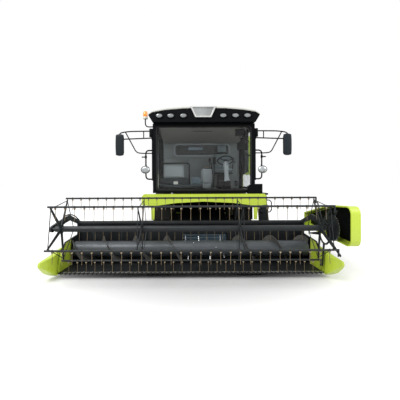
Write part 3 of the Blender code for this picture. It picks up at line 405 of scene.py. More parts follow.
def ranged(tree, value, low, high, to_low=0.0, to_high=1.0):
    node = tree.nodes.new("ShaderNodeMapRange")
    for label, number in (("From Min", low), ("From Max", high), ("To Min", to_low), ("To Max", to_high)):
        node.inputs[label].default_value = number
    link(tree, value, node.inputs["Value"])
    return node.outputs["Result"]


def mixed(tree, factor, a, b):
    node = tree.nodes.new("ShaderNodeMix")
    node.data_type = "RGBA"
    for socket, value in ((node.inputs["Factor"], factor), (node.inputs["A"], a), (node.inputs["B"], b)):
        if isinstance(value, (int, float)):
            socket.default_value = value
        elif isinstance(value, (tuple, list)):
            socket.default_value = (*value[:3], 1)
        else:
            link(tree, value, socket)
    return node.outputs["Result"]


def worn_finish_group():
    """Colour that drifts a little, dust that thickens towards the ground, and orange peel."""
    group, source, sink = socket_group("Worn Finish", [
        ("Position", "NodeSocketVector", (0, 0, 0)), ("Color", "NodeSocketColor", (0.5, 0.5, 0.5, 1)),
        ("Dust Color", "NodeSocketColor", (0.3, 0.25, 0.17, 1)), ("Variation", "NodeSocketFloat", 0.15),
        ("Dust", "NodeSocketFloat", 0.3), ("Roughness", "NodeSocketFloat", 0.4), ("Grain", "NodeSocketFloat", 60.0),
    ], [("Color", "NodeSocketColor"), ("Roughness", "NodeSocketFloat"), ("Height", "NodeSocketFloat")])
    t = group
    at = source.outputs["Position"]
    broad = noise(t, at, 1.7, 4)
    blotch = noise(t, at, 9.0, 5)
    fine = t.nodes.new("ShaderNodeTexNoise")
    fine.inputs["Detail"].default_value = 2
    link(t, at, fine.inputs["Vector"])
    link(t, source.outputs["Grain"], fine.inputs["Scale"])
    drift = math_node(t, "MULTIPLY", ranged(t, broad, 0.3, 0.7, -1, 1), source.outputs["Variation"])
    darker = math_node(t, "ADD", 1.0, drift)
    shade = t.nodes.new("ShaderNodeVectorMath")
    shade.operation = "SCALE"
    link(t, source.outputs["Color"], shade.inputs[0])
    link(t, darker, shade.inputs["Scale"])
    split = t.nodes.new("ShaderNodeSeparateXYZ")
    link(t, at, split.inputs[0])
    low = ranged(t, split.outputs["Z"], 1.5, 0.0)
    normal = t.nodes.new("ShaderNodeNewGeometry")
    facing = t.nodes.new("ShaderNodeSeparateXYZ")
    link(t, normal.outputs["Normal"], facing.inputs[0])
    shelf = ranged(t, facing.outputs["Z"], 0.5, 1.0, 0.0, 0.55)
    settled = math_node(t, "ADD", low, shelf)
    patchy = math_node(t, "MULTIPLY", settled, ranged(t, blotch, 0.35, 0.75))
    dust = math_node(t, "MULTIPLY", patchy, source.outputs["Dust"], clamp=True)
    link(t, mixed(t, dust, shade.outputs[0], source.outputs["Dust Color"]), sink.inputs["Color"])
    rough = math_node(t, "ADD", source.outputs["Roughness"], math_node(t, "MULTIPLY", ranged(t, blotch, 0.3, 0.7, -0.05, 0.07), 1.0))
    link(t, math_node(t, "ADD", rough, math_node(t, "MULTIPLY", dust, 0.5), clamp=True), sink.inputs["Roughness"])
    link(t, fine.outputs["Fac"], sink.inputs["Height"])
    return group


def weave_group():
    """Two crossed waves, each thread over and under, with the colour a little darker in the gaps."""
    group, source, sink = socket_group("Woven Cloth", [
        ("Position", "NodeSocketVector", (0, 0, 0)), ("Threads", "NodeSocketFloat", 260.0),
        ("Thread Color", "NodeSocketColor", (0.1, 0.1, 0.1, 1)), ("Gap Color", "NodeSocketColor", (0.02, 0.02, 0.02, 1)),
    ], [("Color", "NodeSocketColor"), ("Height", "NodeSocketFloat")])
    heights = []
    for direction in ("X", "Z"):
        wave = group.nodes.new("ShaderNodeTexWave")
        wave.bands_direction = direction
        link(group, source.outputs["Position"], wave.inputs["Vector"])
        link(group, source.outputs["Threads"], wave.inputs["Scale"])
        heights.append(wave.outputs["Fac"])
    height = math_node(group, "MAXIMUM", *heights)
    link(group, mixed(group, height, source.outputs["Gap Color"], source.outputs["Thread Color"]), sink.inputs["Color"])
    link(group, height, sink.inputs["Height"])
    return group


GROUPS = {}
MATERIALS = {}
SHARP = math.radians(38)
SLOT_OF_NODE = {entry["node"]: entry["material_slot"] for entry in frame["record"]["subparts"]}

# finish: colour, roughness, metallic, colour drift, dust, grain scale, bump, clear coat, specular level
FINISHES = {
    "header paint": (None, 0.40, 0.10, 0.15, 0.05, 90, 0.04, 0.0, 0.22),
    "body paint": (None, 0.30, 0.0, 0.05, 0.06, 120, 0.012, 0.35, 0.50),
    "roof shell": (None, 0.40, 0.0, 0.03, 0.06, 120, 0.02, 0.15, 0.40),
    "black satin": ((0.0035, 0.0042, 0.005), 0.40, 0.0, 0.2, 0.010, 90, 0.03, 0.0, 0.06),
    "cab lining": ((0.21, 0.205, 0.185), 0.80, 0.0, 0.08, 0.02, 350, 0.25, 0.0, 0.25),
    "pale plastic": ((0.25, 0.28, 0.29), 0.45, 0.0, 0.05, 0.05, 300, 0.08, 0.0, 0.4),
    "blue grey plastic": ((0.055, 0.085, 0.105), 0.45, 0.0, 0.08, 0.03, 300, 0.08, 0.0, 0.4),
    "seat cloth": ((0.19, 0.24, 0.25), 0.92, 0.0, 0.1, 0.05, 200, 0.5, 0.0, 0.3),
    "tyre rubber": ((0.018, 0.018, 0.019), 0.80, 0.0, 0.25, 0.35, 220, 0.25, 0.0, 0.25),
    "rim enamel": ((0.62, 0.62, 0.56), 0.40, 0.0, 0.06, 0.25, 120, 0.04, 0.1, 0.4),
    "polished rod": ((0.62, 0.63, 0.64), 0.20, 1.0, 0.05, 0.02, 60, 0.01, 0.0, 0.5),
    "auger steel": ((0.075, 0.085, 0.095), 0.38, 0.3, 0.2, 0.05, 160, 0.08, 0.0, 0.5),
    "flight steel": ((0.13, 0.13, 0.12), 0.42, 0.4, 0.35, 0.10, 160, 0.10, 0.0, 0.5),
    "worn steel": ((0.36, 0.36, 0.35), 0.40, 0.9, 0.3, 0.1, 180, 0.12, 0.0, 0.5),
    "casting": ((0.045, 0.045, 0.047), 0.60, 0.2, 0.2, 0.25, 150, 0.3, 0.0, 0.3),
    "tine wire": ((0.20, 0.15, 0.09), 0.40, 0.5, 0.25, 0.05, 200, 0.05, 0.0, 0.5),
    "tine coil": ((0.42, 0.34, 0.22), 0.45, 0.3, 0.2, 0.05, 200, 0.05, 0.0, 0.5),
    "amber lens": ((0.90, 0.28, 0.01), 0.15, 0.0, 0.05, 0.0, 200, 0.02, 0.6, 0.5),
    "red lens": ((0.55, 0.01, 0.01), 0.15, 0.0, 0.05, 0.0, 200, 0.02, 0.6, 0.5),
    "lamp lens": ((0.40, 0.42, 0.43), 0.12, 0.55, 0.25, 0.0, 90, 0.6, 0.6, 0.5),
    "roof lamp": ((0.26, 0.275, 0.28), 0.15, 0.3, 0.1, 0.0, 90, 0.3, 0.6, 0.5),
    "badge silver": ((0.62, 0.63, 0.62), 0.28, 0.6, 0.05, 0.0, 120, 0.02, 0.2, 0.5),
    "mirror glass": ((0.55, 0.60, 0.63), 0.04, 1.0, 0.02, 0.0, 60, 0.0, 0.0, 0.5),
    "screen": ((0.014, 0.022, 0.030), 0.18, 0.0, 0.1, 0.0, 60, 0.0, 0.4, 0.4),
    "cable green": ((0.45, 0.55, 0.04), 0.5, 0.0, 0.1, 0.0, 200, 0.05, 0.0, 0.4),
    "wall trim": ((0.165, 0.185, 0.185), 0.75, 0.0, 0.06, 0.02, 350, 0.25, 0.0, 0.25),
    "mirror shell": ((0.012, 0.017, 0.021), 0.40, 0.0, 0.1, 0.02, 200, 0.05, 0.0, 0.18),
    "badge mesh": ((0.25, 0.26, 0.26), 0.50, 0.2, 0.3, 0.0, 900, 0.6, 0.0, 0.4),
    # a darker copy of the header paint: painted shade for the inside of the header's trough
    "trough paint with painted shade": ((0.010, 0.012, 0.014), 0.50, 0.0, 0.3, 0.03, 120, 0.06, 0.0, 0.15),
    # the blue in this grey steel is a painted reflection of the sky
    "feeder slats with painted reflection": ((0.075, 0.115, 0.145), 0.40, 0.2, 0.3, 0.03, 120, 0.06, 0.0, 0.4),
    # the pale blue stands for a painted reflection of the sky
    "tank glass with painted reflection": ((0.16, 0.30, 0.40), 0.12, 0.0, 0.1, 0.0, 60, 0.01, 0.3, 0.5),
    "dark plastic": ((0.018, 0.024, 0.026), 0.50, 0.0, 0.15, 0.02, 300, 0.10, 0.0, 0.25),
    "rubber": ((0.012, 0.012, 0.012), 0.70, 0.0, 0.15, 0.10, 220, 0.15, 0.0, 0.25),
}
FINISH_OF_SLOT = {
    "lime_paint": "body paint", "dark_steel": "header paint", "black_paint": "black satin",
    "roof_white": "roof shell", "cab_grey": "cab lining", "light_grey": "pale plastic",
    "seat_fabric": "seat cloth", "glass": "cab glass", "tyre_rubber": "tyre rubber", "rim_paint": "rim enamel",
    "bright_steel": "polished rod", "cast_iron": "casting", "tine_wire": "tine wire",
}
# the header frame takes the darker copy of the header paint, which is painted shade
FINISH_OF_NODE = {"header_frame": "trough paint with painted shade"}


def finish_material(name, colour, roughness, metallic, variation, dust, grain, bump, coat, specular):
    """One painted, moulded, woven or metal finish, from the shared groups."""
    material = bpy.data.materials.new(name)
    material.use_nodes = True
    tree = material.node_tree
    shader = tree.nodes["Principled BSDF"]
    place = tree.nodes.new("ShaderNodeTexCoord")
    worn = tree.nodes.new("ShaderNodeGroup")
    worn.node_tree = GROUPS["worn"]
    link(tree, place.outputs["Object"], worn.inputs["Position"])
    worn.inputs["Color"].default_value = (*colour, 1)
    worn.inputs["Dust Color"].default_value = (*bpy.context.scene.harvester_paint.dust, 1)
    for label, value in (("Variation", variation), ("Dust", dust), ("Roughness", roughness), ("Grain", grain)):
        worn.inputs[label].default_value = value
    height = worn.outputs["Height"]
    if name == "seat cloth":
        weave = tree.nodes.new("ShaderNodeGroup")
        weave.node_tree = GROUPS["weave"]
        link(tree, place.outputs["Object"], weave.inputs["Position"])
        weave.inputs["Thread Color"].default_value = (*colour, 1)
        weave.inputs["Gap Color"].default_value = (*[c * 0.3 for c in colour], 1)
        link(tree, weave.outputs["Color"], worn.inputs["Color"])
        height = weave.outputs["Height"]
    bump_node = tree.nodes.new("ShaderNodeBump")
    bump_node.inputs["Strength"].default_value = bump
    bump_node.inputs["Distance"].default_value = 0.004
    link(tree, height, bump_node.inputs["Height"])
    link(tree, bump_node.outputs["Normal"], shader.inputs["Normal"])
    link(tree, worn.outputs["Color"], shader.inputs["Base Color"])
    link(tree, worn.outputs["Roughness"], shader.inputs["Roughness"])
    shader.inputs["Metallic"].default_value = metallic
    shader.inputs["Specular IOR Level"].default_value = specular
    shader.inputs["Coat Weight"].default_value = coat
    shader.inputs["Coat Roughness"].default_value = 0.12
    MATERIALS[name] = material


def glass_material(name, tint, smear_low):
    """Clear sheet glass with faint smears, which shows what is behind it."""
    material = bpy.data.materials.new(name)
    material.use_nodes = True
    tree = material.node_tree
    shader = tree.nodes["Principled BSDF"]
    place = tree.nodes.new("ShaderNodeTexCoord")
    smear = noise(tree, place.outputs["Object"], 3.0, 6)
    link(tree, ranged(tree, smear, 0.4, 0.8, smear_low, smear_low + 0.04), shader.inputs["Roughness"])
    shader.inputs["Base Color"].default_value = (*tint, 1)
    shader.inputs["Transmission Weight"].default_value = 1.0
    shader.inputs["IOR"].default_value = 1.25
    MATERIALS[name] = material


def build_materials():
    """Every finish on the machine, by the name that the pieces ask for."""
    paints = bpy.context.scene.harvester_paint
    chosen = {"body paint": paints.body, "header paint": paints.steel, "roof shell": paints.roof}
    GROUPS["worn"] = worn_finish_group()
    GROUPS["weave"] = weave_group()
    for name, (colour, *values) in FINISHES.items():
        finish_material(name, tuple(chosen.get(name, colour)), *values)
    glass_material("cab glass", (0.95, 0.97, 0.97), 0.0)


SOFTENED = {
    "grain_tank": 0.010, "straw_hood": 0.014, "threshing_housing": 0.010, "side_shield_left": 0.010,
    "side_shield_right": 0.010, "engine_deck": 0.010, "cab_cowl": 0.008, "drive_shield": 0.006, "divider_left": 0.014,
    "divider_right": 0.014, "roof_fascia": 0.012, "roof_cap": 0.010, "corner_locker": 0.012, "feeder_house": 0.006,
    "cab_door": 0.005,
}


class HARVESTER_OT_frame_finishes(bpy.types.Operator):
    """Give every node of the frame its finish, and round the edges of its panels"""

    bl_idname = "harvester.frame_finishes"
    bl_label = "Frame finishes"

    def execute(self, context):
        build_materials()
        for node, slot in SLOT_OF_NODE.items():
            materials = frame["nodes"][node].data.materials
            materials.clear()
            materials.append(MATERIALS[FINISH_OF_NODE.get(node, FINISH_OF_SLOT[slot])])
        for node, width in SOFTENED.items():
            softened(node, width)
        return {"FINISHED"}


# ---------------------------------------------------------------- wheels
def tyre(end, label, side):
    """Carcass: an arc profile turned about the axle. Lugs: bars swept from shoulder to centre, in two hands."""
    sizes = bpy.context.scene.harvester_sizes
    low, high = corners(f"{end}_{label}_tyre")
    rim_low, rim_high = corners(f"{end}_{label}_rim")
    centre, radius, half = (low + high) / 2, (high[2] - low[2]) / 2, (high[0] - low[0]) / 2
    rim = (rim_high[2] - rim_low[2]) / 2
    seat = rim + 0.001
    scale = radius / 0.69
    crown = radius - sizes.lug_height * scale
    t = np.linspace(0, 1, 15)
    flank = np.stack([seat + (crown - seat) * np.sin(t * np.pi / 2),
                      half * (0.78 + 0.20 * np.sin(t * np.pi) - 0.10 * t ** 4)], -1)
    across = np.linspace(-1, 1, 7)
    tread = np.stack([crown + 0.012 * (1 - (0.9 * across) ** 2), 0.6 * half * across], -1)
    bead = np.array([[seat, 0.78 * half], [seat, 0], [seat, -0.78 * half]])
    parts = [turned(np.concatenate([flank * [1, -1], tread, flank[::-1], bead]), centre, "X", 72, ring=True)]
    # a lug: s runs from shoulder to centre, and each ring has four corners, foot, top, top and foot
    s = np.linspace(0, 1, 7)
    sweep = 0.62 * s ** 0.9 * (2 * np.pi / sizes.lug_count)
    width = (0.020 + 0.010 * s) * scale
    foot = crown - 0.4 * np.maximum(0.18 - s, 0) - 0.004
    top = radius - 0.3 * np.maximum(0.10 - s, 0)
    turn = sweep[:, None] + np.array([-1.25, -0.9, 0.9, 1.25]) * width[:, None] / radius
    level = np.stack([foot, top, top, foot], -1)
    at = np.broadcast_to((half * (0.97 - 0.99 * s))[:, None], turn.shape)
    lug = lofted(np.stack([at, level * np.cos(turn), level * np.sin(turn)], -1))
    step = 2 * np.pi / sizes.lug_count
    for hand, offset in ((1, 0.0), (-1, 0.5)):
        spins = turns_about("X", (np.arange(sizes.lug_count) + offset) * step - np.pi / 2)
        parts.append(copies(scaled(lug, (hand, 1, 1)), np.repeat(centre[None], sizes.lug_count, 0), spins))
    body = f"{end}_wheel_{label}"
    make(f"{end}_{label}_lugged_tyre", parts, body, "tyre rubber", (f"{end}_{label}_tyre",))
    # rim flanges over the beads, and a hub cap inside a circle of bolts
    lip = np.array([(-0.024, 0.71), (-0.001, 0.71), (-0.001, 0.785), (0.022, 0.79), (0.024, 0.815), (0.012, 0.83),
                    (-0.02, 0.80)]) * [1, half] + [rim, 0]
    lips = [turned(lip * [1, hand], centre, "X", 64, ring=True) for hand in (1, -1)]
    face = side * (0.10 * half + 0.025)
    pressed = turned([(0.62 * rim, face - side * 0.002), (0.66 * rim, face + side * 0.016),
                      (0.80 * rim, face + side * 0.020), (0.86 * rim, face - side * 0.002)], centre, "X", 64, ring=True)
    make(f"{end}_{label}_rim_flanges", lips + [pressed], body, "rim enamel")
    head = turned([(0, 0), (0.017, 0), (0.017, 0.016), (0.012, 0.022), (0, 0.022)], axis="X", steps=6)
    angle = np.arange(8) * np.pi / 4
    circle = 0.54 * rim
    spots = centre + np.stack([np.full(8, face), circle * np.cos(angle), circle * np.sin(angle)], -1)
    cap = turned(np.array([(0, 0.44), (0.30, 0.44), (0.30, 0.49), (0.24, 0.54), (0.10, 0.56), (0, 0.56)])
                 * [rim, side * half], centre, "X", 32)
    make(f"{end}_{label}_wheel_bolts", [copies(scaled(head, (side, 1, 1)), spots), cap], body, "worn steel")


class HARVESTER_OT_wheels(bpy.types.Operator):
    """Lugged tyres, rim flanges and wheel bolts"""

    bl_idname = "harvester.wheels"
    bl_label = "Wheels"

    def execute(self, context):
        for end in ("front", "rear"):
            for label, side in SIDES:
                tyre(end, label, side)
        return {"FINISHED"}


# ---------------------------------------------------------------- reel
class HARVESTER_OT_reel_bats(bpy.types.Operator):
    """Round bats with sprung wire tines, coils and clips"""

    bl_idname = "harvester.reel_bats"
    bl_label = "Reel bats"

    def execute(self, context):
        sizes = context.scene.harvester_sizes
        count, pitch = 29, 0.15
        t = np.linspace(0, 1, 12)
        turn = np.linspace(0, 5 * np.pi, 26)
        coil = tube(np.stack([0.004 * turn / np.pi - 0.010, 0.0145 * np.cos(turn),
                              -0.030 + 0.0115 * np.sin(turn)], -1), sizes.tine_thickness * 0.55, 5)
        clip = soft_box((-0.010, -0.018, -0.020), (0.010, 0.018, 0.018), 0.006, 2)
        for k in range(1, 6):
            body = f"bat_{k}"
            at = pin(f"bat_{k}_turn")
            low, high = corners(body)
            end = high[0] - 0.024
            bar = tube(np.linspace([low[0], at[1], at[2]], [end, at[1], at[2]], 9), 0.0155, 14)
            crank = soft_box((end, at[1] - 0.013, at[2] - 0.104), (end + 0.022, at[1] + 0.013, at[2] + 0.014), 0.005)
            make(f"reel_bat_{k}", [bar, crank], body, "header paint", (body,))
            x = (low[0] + end) / 2 + (np.arange(count) - (count - 1) / 2) * pitch
            place = np.stack([x, np.full(count, at[1]), np.full(count, at[2])], -1)
            # a tine hangs straight, with a light bow backwards towards its tip
            wire = np.stack([0 * t, -0.004 + 0.012 * np.sin(np.pi * t) - 0.006 * t,
                             -0.020 - (at[2] - low[2] - 0.022) * t], -1)
            tine = tube(wire, sizes.tine_thickness / 2 * np.where(t > 0.93, 0.7, 1.0), 6)
            make(f"reel_tines_{k}", copies(tine, place), body, "tine wire")
            make(f"tine_coils_{k}", copies(coil, place), body, "tine coil")
            make(f"tine_clips_{k}", copies(clip, place), body, "header paint")
        return {"FINISHED"}


# ---------------------------------------------------------------- header
class HARVESTER_OT_auger(bpy.types.Operator):
    """Cross auger with helical flights of both hands and feed fingers"""

    bl_idname = "harvester.auger"
    bl_label = "Cross auger"

    def execute(self, context):
        at = pin("header_auger_spin")
        low, high = corners("header_auger")
        radius, core, mouth = (high[2] - low[2]) / 2, 0.15, 0.46
        drum = turned([(0, low[0]), (core, low[0]), (core, high[0]), (0, high[0])], (0, at[1], at[2]), "X", 48)
        make("cross_auger", drum, "header_auger", "auger steel", ("header_auger",), 0.003)
        flights = []
        for start, stop, hand in ((low[0] + 0.005, -mouth, 1), (high[0] - 0.005, mouth, -1)):
            turns = abs(stop - start) / context.scene.harvester_sizes.flight_pitch
            flights.append(helicoid(np.linspace(start, stop, int(28 * turns)), at, core - 0.004, radius, turns, hand))
        make("auger_flights", flights, "header_auger", "flight steel")
        count = 16
        i = np.arange(count)
        finger = tube(np.linspace([0, 0, core - 0.01], [0, 0, radius - 0.005], 5), 0.008, 8)
        place = np.stack([-mouth + 0.04 + (2 * mouth - 0.08) * (i + 0.5) / count, np.full(count, at[1]),
                          np.full(count, at[2])], -1)
        make("feed_fingers", copies(finger, place, turns_about("X", i * 2.4)), "header_auger", "polished rod")
        return {"FINISHED"}


class HARVESTER_OT_knife(bpy.types.Operator):
    """Guard fingers and knife sections along the cutter bar"""

    bl_idname = "harvester.knife"
    bl_label = "Cutter bar"

    def execute(self, context):
        pitch = context.scene.harvester_sizes.finger_pitch
        low, high = corners("header_frame")
        count = int((high[0] - low[0] - 0.12) / pitch)
        x = HEADER_X + (np.arange(count) - (count - 1) / 2) * pitch
        # a guard: a six-sided tongue whose width and height fall away to its point
        t = np.linspace(0, 1, 7)[:, None]
        shape = np.array([(1, 0.4), (0.5, 1), (-0.5, 1), (-1, 0.4), (-0.7, -1), (0.7, -1)])
        wide, tall = 0.016 * (1 - t) ** 0.6 + 0.002, 0.013 * (1 - t) ** 0.6 + 0.002
        guard = lofted(np.stack([wide * shape[:, 0], 0.05 - 0.15 * t + 0 * wide * shape[:, 0],
                                 0.004 * t + tall * shape[:, 1]], -1))
        place = np.stack([x, np.full(count, low[1]), np.full(count, 0.088)], -1)
        make("guard_fingers", copies(guard, place), "header_lift", "header paint")
        blade = plate([(-0.036, 0.03), (-0.010, -0.045), (0.010, -0.045), (0.036, 0.03)], (0.0, 0.003), "Z")
        make("knife_sections", copies(blade, place + [pitch / 2, 0, 0.012]), "header_lift", "worn steel")
        return {"FINISHED"}


class HARVESTER_OT_header_trim(bpy.types.Operator):
    """Painted end panels, a black sheet of painted shade inside the drive shield, the shield's drive, seams and bolts
    of the header
    """

    bl_idname = "harvester.header_trim"
    bl_label = "Header trim"

    def execute(self, context):
        low, high = corners("header_frame")
        reel = pin("reel_spin")
        half = 2.285
        back = pin("header_auger_spin")[1] + 0.28
        cheeks, bolts = [], []
        head = turned([(0, 0), (0.013, 0), (0.013, 0.007), (0.009, 0.011), (0, 0.011)], axis="X", steps=6)
        for _, s in SIDES:
            face = HEADER_X + s * (half - 0.0008)
            span = sorted((face, face - s * 0.005))
            cheeks.append(plate([(-2.90, 0.09), (-2.935, 0.20), (-2.81, 0.41), (-2.66, 0.545), (-2.45, 0.57), (-2.45, 0.09)],
                                span, "X"))
            edge = sorted((HEADER_X + s * (half - 0.003), HEADER_X + s * (half + 0.031)))
            cheeks.append(plate([(-2.936, 0.055), (-2.946, 0.20), (-2.812, 0.424), (-2.800, 0.418), (-2.932, 0.20),
                                 (-2.922, 0.055)], edge, "X"))
            spots = np.array([[face, y, z] for y, z in ((-2.76, 0.24), (-2.76, 0.40), (-2.49, 0.53), (-2.49, 0.24))])
            bolts.append(copies(scaled(head, (-s, 1, 1)), spots - [s * 0.005, 0, 0]))
        make("header_cheeks", cheeks, "header_lift", "body paint", bevel=0.0015)
        # a swaged rib every 0.57 m on the back wall, and a bolt row on the beam
        ribs = [soft_box((x - 0.02, back - 0.012, 0.30), (x + 0.02, back + 0.004, 0.76), 0.008, 2)
                for x in HEADER_X + np.array([-1.99, -1.42, -0.85, 1.42, 1.99])]
        make("header_back_ribs", ribs, "header_lift", "header paint")
        bar = turned([(0, 0), (0.011, 0), (0.011, 0.006), (0, 0.009)], axis="Z", steps=6)
        x = HEADER_X + np.arange(-14, 15) * 0.155
        row = np.stack([x, np.full(29, low[1] + 0.055), np.full(29, 0.0925)], -1)
        bolts.append(copies(bar, row))
        make("header_bolts", bolts, "header_lift", "worn steel")
        # feeder chain slats, their blue-grey colour partly a painted reflection of the sky
        slats = [soft_box((-0.45, back + 0.03, z), (0.45, back + 0.055, z + 0.045), 0.006, 2) for z in (0.42, 0.48, 0.54)]
        slats += [soft_box((x - 0.012, back + 0.02, 0.24), (x + 0.012, back + 0.06, 0.595), 0.006, 2)
                  for x in (-0.40, 0.0, 0.40)]
        make("feeder_slats", slats, "header_lift", "feeder slats with painted reflection")
        # inside the shield: a black sheet that is painted shade, the reel's sprocket and its chain
        inner = HEADER_X + 2.575
        lining = plate([(-1.79, 0.76), (-2.76, 0.70), (-3.42, 0.67), (-3.51, 0.76), (-3.51, 1.13), (-3.42, 1.22),
                        (-2.80, 1.19), (-1.79, 0.97)], (inner - 0.006, inner - 0.001), "X")
        make("drive_shield_painted_shade", lining, "reel_lift", "black satin")
        teeth = 26
        angle = np.arange(2 * teeth) * np.pi / teeth
        edge = np.where(np.arange(2 * teeth) % 2, 0.205, 0.222)
        outline = np.stack([edge * np.cos(angle), edge * np.sin(angle)], -1) + reel[1:]
        wheel = plate(outline, (HEADER_X + half + 0.113, HEADER_X + half + 0.121), "X")
        hub = turned([(0, 0.112), (0.07, 0.112), (0.07, 0.128), (0.045, 0.134), (0, 0.134)],
                     (HEADER_X + half, reel[1], reel[2]), "X", 24)
        make("reel_sprocket", [wheel, hub], "reel", "worn steel")
        # grey hoses that lie along the right reel arm and the top beam
        x = HEADER_X - half - 0.068
        hose = tube(bend([(x, -1.86, 0.862), (x, -2.10, 0.985), (x, -2.36, 1.040), (x, -2.62, 1.020)], 0.1), 0.011, 8)
        make("reel_hose", hose, "reel_lift", "rubber")
        return {"FINISHED"}


# ---------------------------------------------------------------- cab
class HARVESTER_OT_cab_lining(bpy.types.Operator):
    """Rear wall trim, headliner, floor mat and rear window of the cab"""

    bl_idname = "harvester.cab_lining"
    bl_label = "Cab lining"

    def execute(self, context):
        wall = -0.27
        window = (-0.69, 0.73), (2.37, 2.65)
        hole = rounded((window[0][0] + 0.01, window[0][1] - 0.01), (window[1][0] + 0.01, window[1][1] - 0.01), 0.06)
        rim = rounded((window[0][0] - 0.035, window[0][1] + 0.035), (window[1][0] - 0.035, window[1][1] + 0.03), 0.09)
        trim = ring_plate(rounded((-1.0, 1.0), (1.49, 2.72), 0.02), hole, (wall - 0.016, wall - 0.001))
        panels = [soft_box((a, wall - 0.024, 1.56), (b, wall - 0.010, 2.28), 0.012, 3)
                  for a, b in ((-0.95, -0.36), (-0.32, 0.30), (0.34, 0.95))]
        make("rear_wall_trim", [trim, *panels], "chassis", "wall trim", bevel=0.004)
        make("rear_window_bezel", ring_plate(rim, hole, (wall - 0.034, wall - 0.014)), "chassis", "pale plastic",
             bevel=0.006)
        make("rear_window_glass", plate(rounded((-0.692, 0.732), (2.368, 2.652), 0.07), (wall + 0.012, wall + 0.018)),
             "chassis", "cab glass")
        liner = plate([(-1.64, 2.894), (-1.64, 2.872), (-1.20, 2.838), (-0.34, 2.69), (-0.30, 2.70), (-0.30, 2.744)],
                      (-0.995, 0.995), "X")
        make("headliner", liner, "chassis", "cab lining", bevel=0.012)
        # the vent lies in the sloping part of the liner, whose face falls 0.172 m for each metre back
        places = np.arange(-1.30, -1.215, 0.021)
        slats = [soft_box((-0.255, y, 2.832 - 0.172 * (y + 1.2)), (0.225, y + 0.010, 2.846 - 0.172 * (y + 1.2)), 0.003, 2)
                 for y in places]
        slats.append(soft_box((-0.28, -1.318, 2.846), (0.25, -1.195, 2.872), 0.006, 2))
        make("headliner_vent", slats, "chassis", "black satin")
        ribs = [soft_box((-0.98, y, 1.484), (0.98, y + 0.02, 1.492), 0.003, 2) for y in np.arange(-1.60, -0.34, 0.06)]
        mat = soft_box((-1.0, -1.64, 1.4805), (1.0, -0.30, 1.488), 0.003, 2)
        make("floor_mat", [mat, *ribs], "chassis", "rubber")
        # painted shade: black sheets under the cab floor and behind the cab's rear wall, where only shade shows
        bulkhead = plate([(-0.694, 0.848), (0.694, 0.848), (0.694, 1.595), (-0.694, 1.595)], (-0.182, -0.1715))
        cover = plate([(-0.67, 1.63), (0.67, 1.63), (1.298, 1.93), (1.298, 3.14), (-1.298, 3.14), (-1.298, 1.93)],
                      (-0.150, -0.1415))
        make("painted_shade_sheets", [bulkhead, cover], "chassis", "black satin", bevel=0.003)
        # a pane on the tank's front wall whose pale blue colour is a painted reflection
        pane = plate(rounded((-0.34, 0.05), (2.53, 2.60), 0.02), (-0.156, -0.151))
        make("tank_window", pane, "chassis", "tank glass with painted reflection", bevel=0.001)
        # soft seals round the windshield
        seal = ring_plate(rounded((-1.03, 1.03), (1.468, 2.862), 0.06), rounded((-0.995, 0.995), (1.50, 2.83), 0.06),
                          (-1.758, -1.7305))
        make("windshield_seal", seal, "chassis", "rubber", bevel=0.004)
        arm = tube(bend([(0.05, -1.765, 1.49), (0.02, -1.775, 1.515), (-0.62, -1.764, 1.53)], 0.02), 0.006, 8)
        blade = tube(np.linspace([-0.28, -1.760, 1.515], [-0.96, -1.760, 1.545], 3), 0.008, 6)
        make("wiper", [arm, blade], "chassis", "rubber")
        return {"FINISHED"}


class HARVESTER_OT_seat(bpy.types.Operator):
    """Sprung seat: crowned cushions with welts and channels on a bellows base"""

    bl_idname = "harvester.seat"
    bl_label = "Seat"

    def execute(self, context):
        x = 0.52
        pads = (
            ("seat_cushion", (x - 0.235, -1.00, 1.875), (x + 0.235, -0.56, 1.995), "Z", (-0.45, 0.45), (0.0,)),
            ("seat_back", (x - 0.215, -0.635, 1.935), (x + 0.215, -0.495, 2.375), "Y", (-0.45, 0.45), (-0.2, 0.4)),
            ("headrest", (x - 0.115, -0.60, 2.415), (x + 0.115, -0.515, 2.605), "Y", (), ()),
            ("armrest_left", (x + 0.245, -0.95, 2.115), (x + 0.305, -0.60, 2.165), "Z", (), ()),
            ("armrest_right", (x - 0.305, -0.95, 2.115), (x - 0.245, -0.60, 2.165), "Z", (), ()),
        )
        for name, low, high, face, across, along in pads:
            part, seam = pad(low, high, face, across, along)
            piece = make(name, part, "chassis", "seat cloth",
                         ("operator_seat",) if name == "seat_cushion" else ())
            make(name + "_welt", tube(seam, 0.004, 6, closed=True), "chassis", "rubber")
        z = np.linspace(1.56, 1.845, 17)
        grow = np.where(np.arange(17) % 2, 0.0, -0.018)
        folds = lofted([in_plane(rounded((x - 0.15 - g, x + 0.15 + g), (-0.92 - g, -0.62 + g), 0.05), h, "Z")
                        for g, h in zip(grow, z)])
        make("seat_bellows", folds, "chassis", "rubber")
        frame_parts = [soft_box((x - 0.17, -0.95, 1.492), (x + 0.17, -0.60, 1.565), 0.02, 3),
                       soft_box((x - 0.22, -0.97, 1.845), (x + 0.22, -0.58, 1.88), 0.012, 3),
                       tube(bend([(x + 0.24, -0.56, 1.87), (x + 0.262, -0.56, 1.96), (x + 0.275, -0.62, 2.12)], 0.03),
                            0.014, 8),
                       tube(bend([(x - 0.24, -0.56, 1.87), (x - 0.262, -0.56, 1.96), (x - 0.275, -0.62, 2.12)], 0.03),
                            0.014, 8),
                       soft_box((x - 0.20, -0.505, 1.90), (x + 0.20, -0.470, 2.30), 0.015, 3),
                       *[tube([(x + d, -0.555, 2.34), (x + d, -0.555, 2.46)], 0.007, 8) for d in (-0.05, 0.05)]]
        make("seat_frame", frame_parts, "chassis", "black satin")
        return {"FINISHED"}


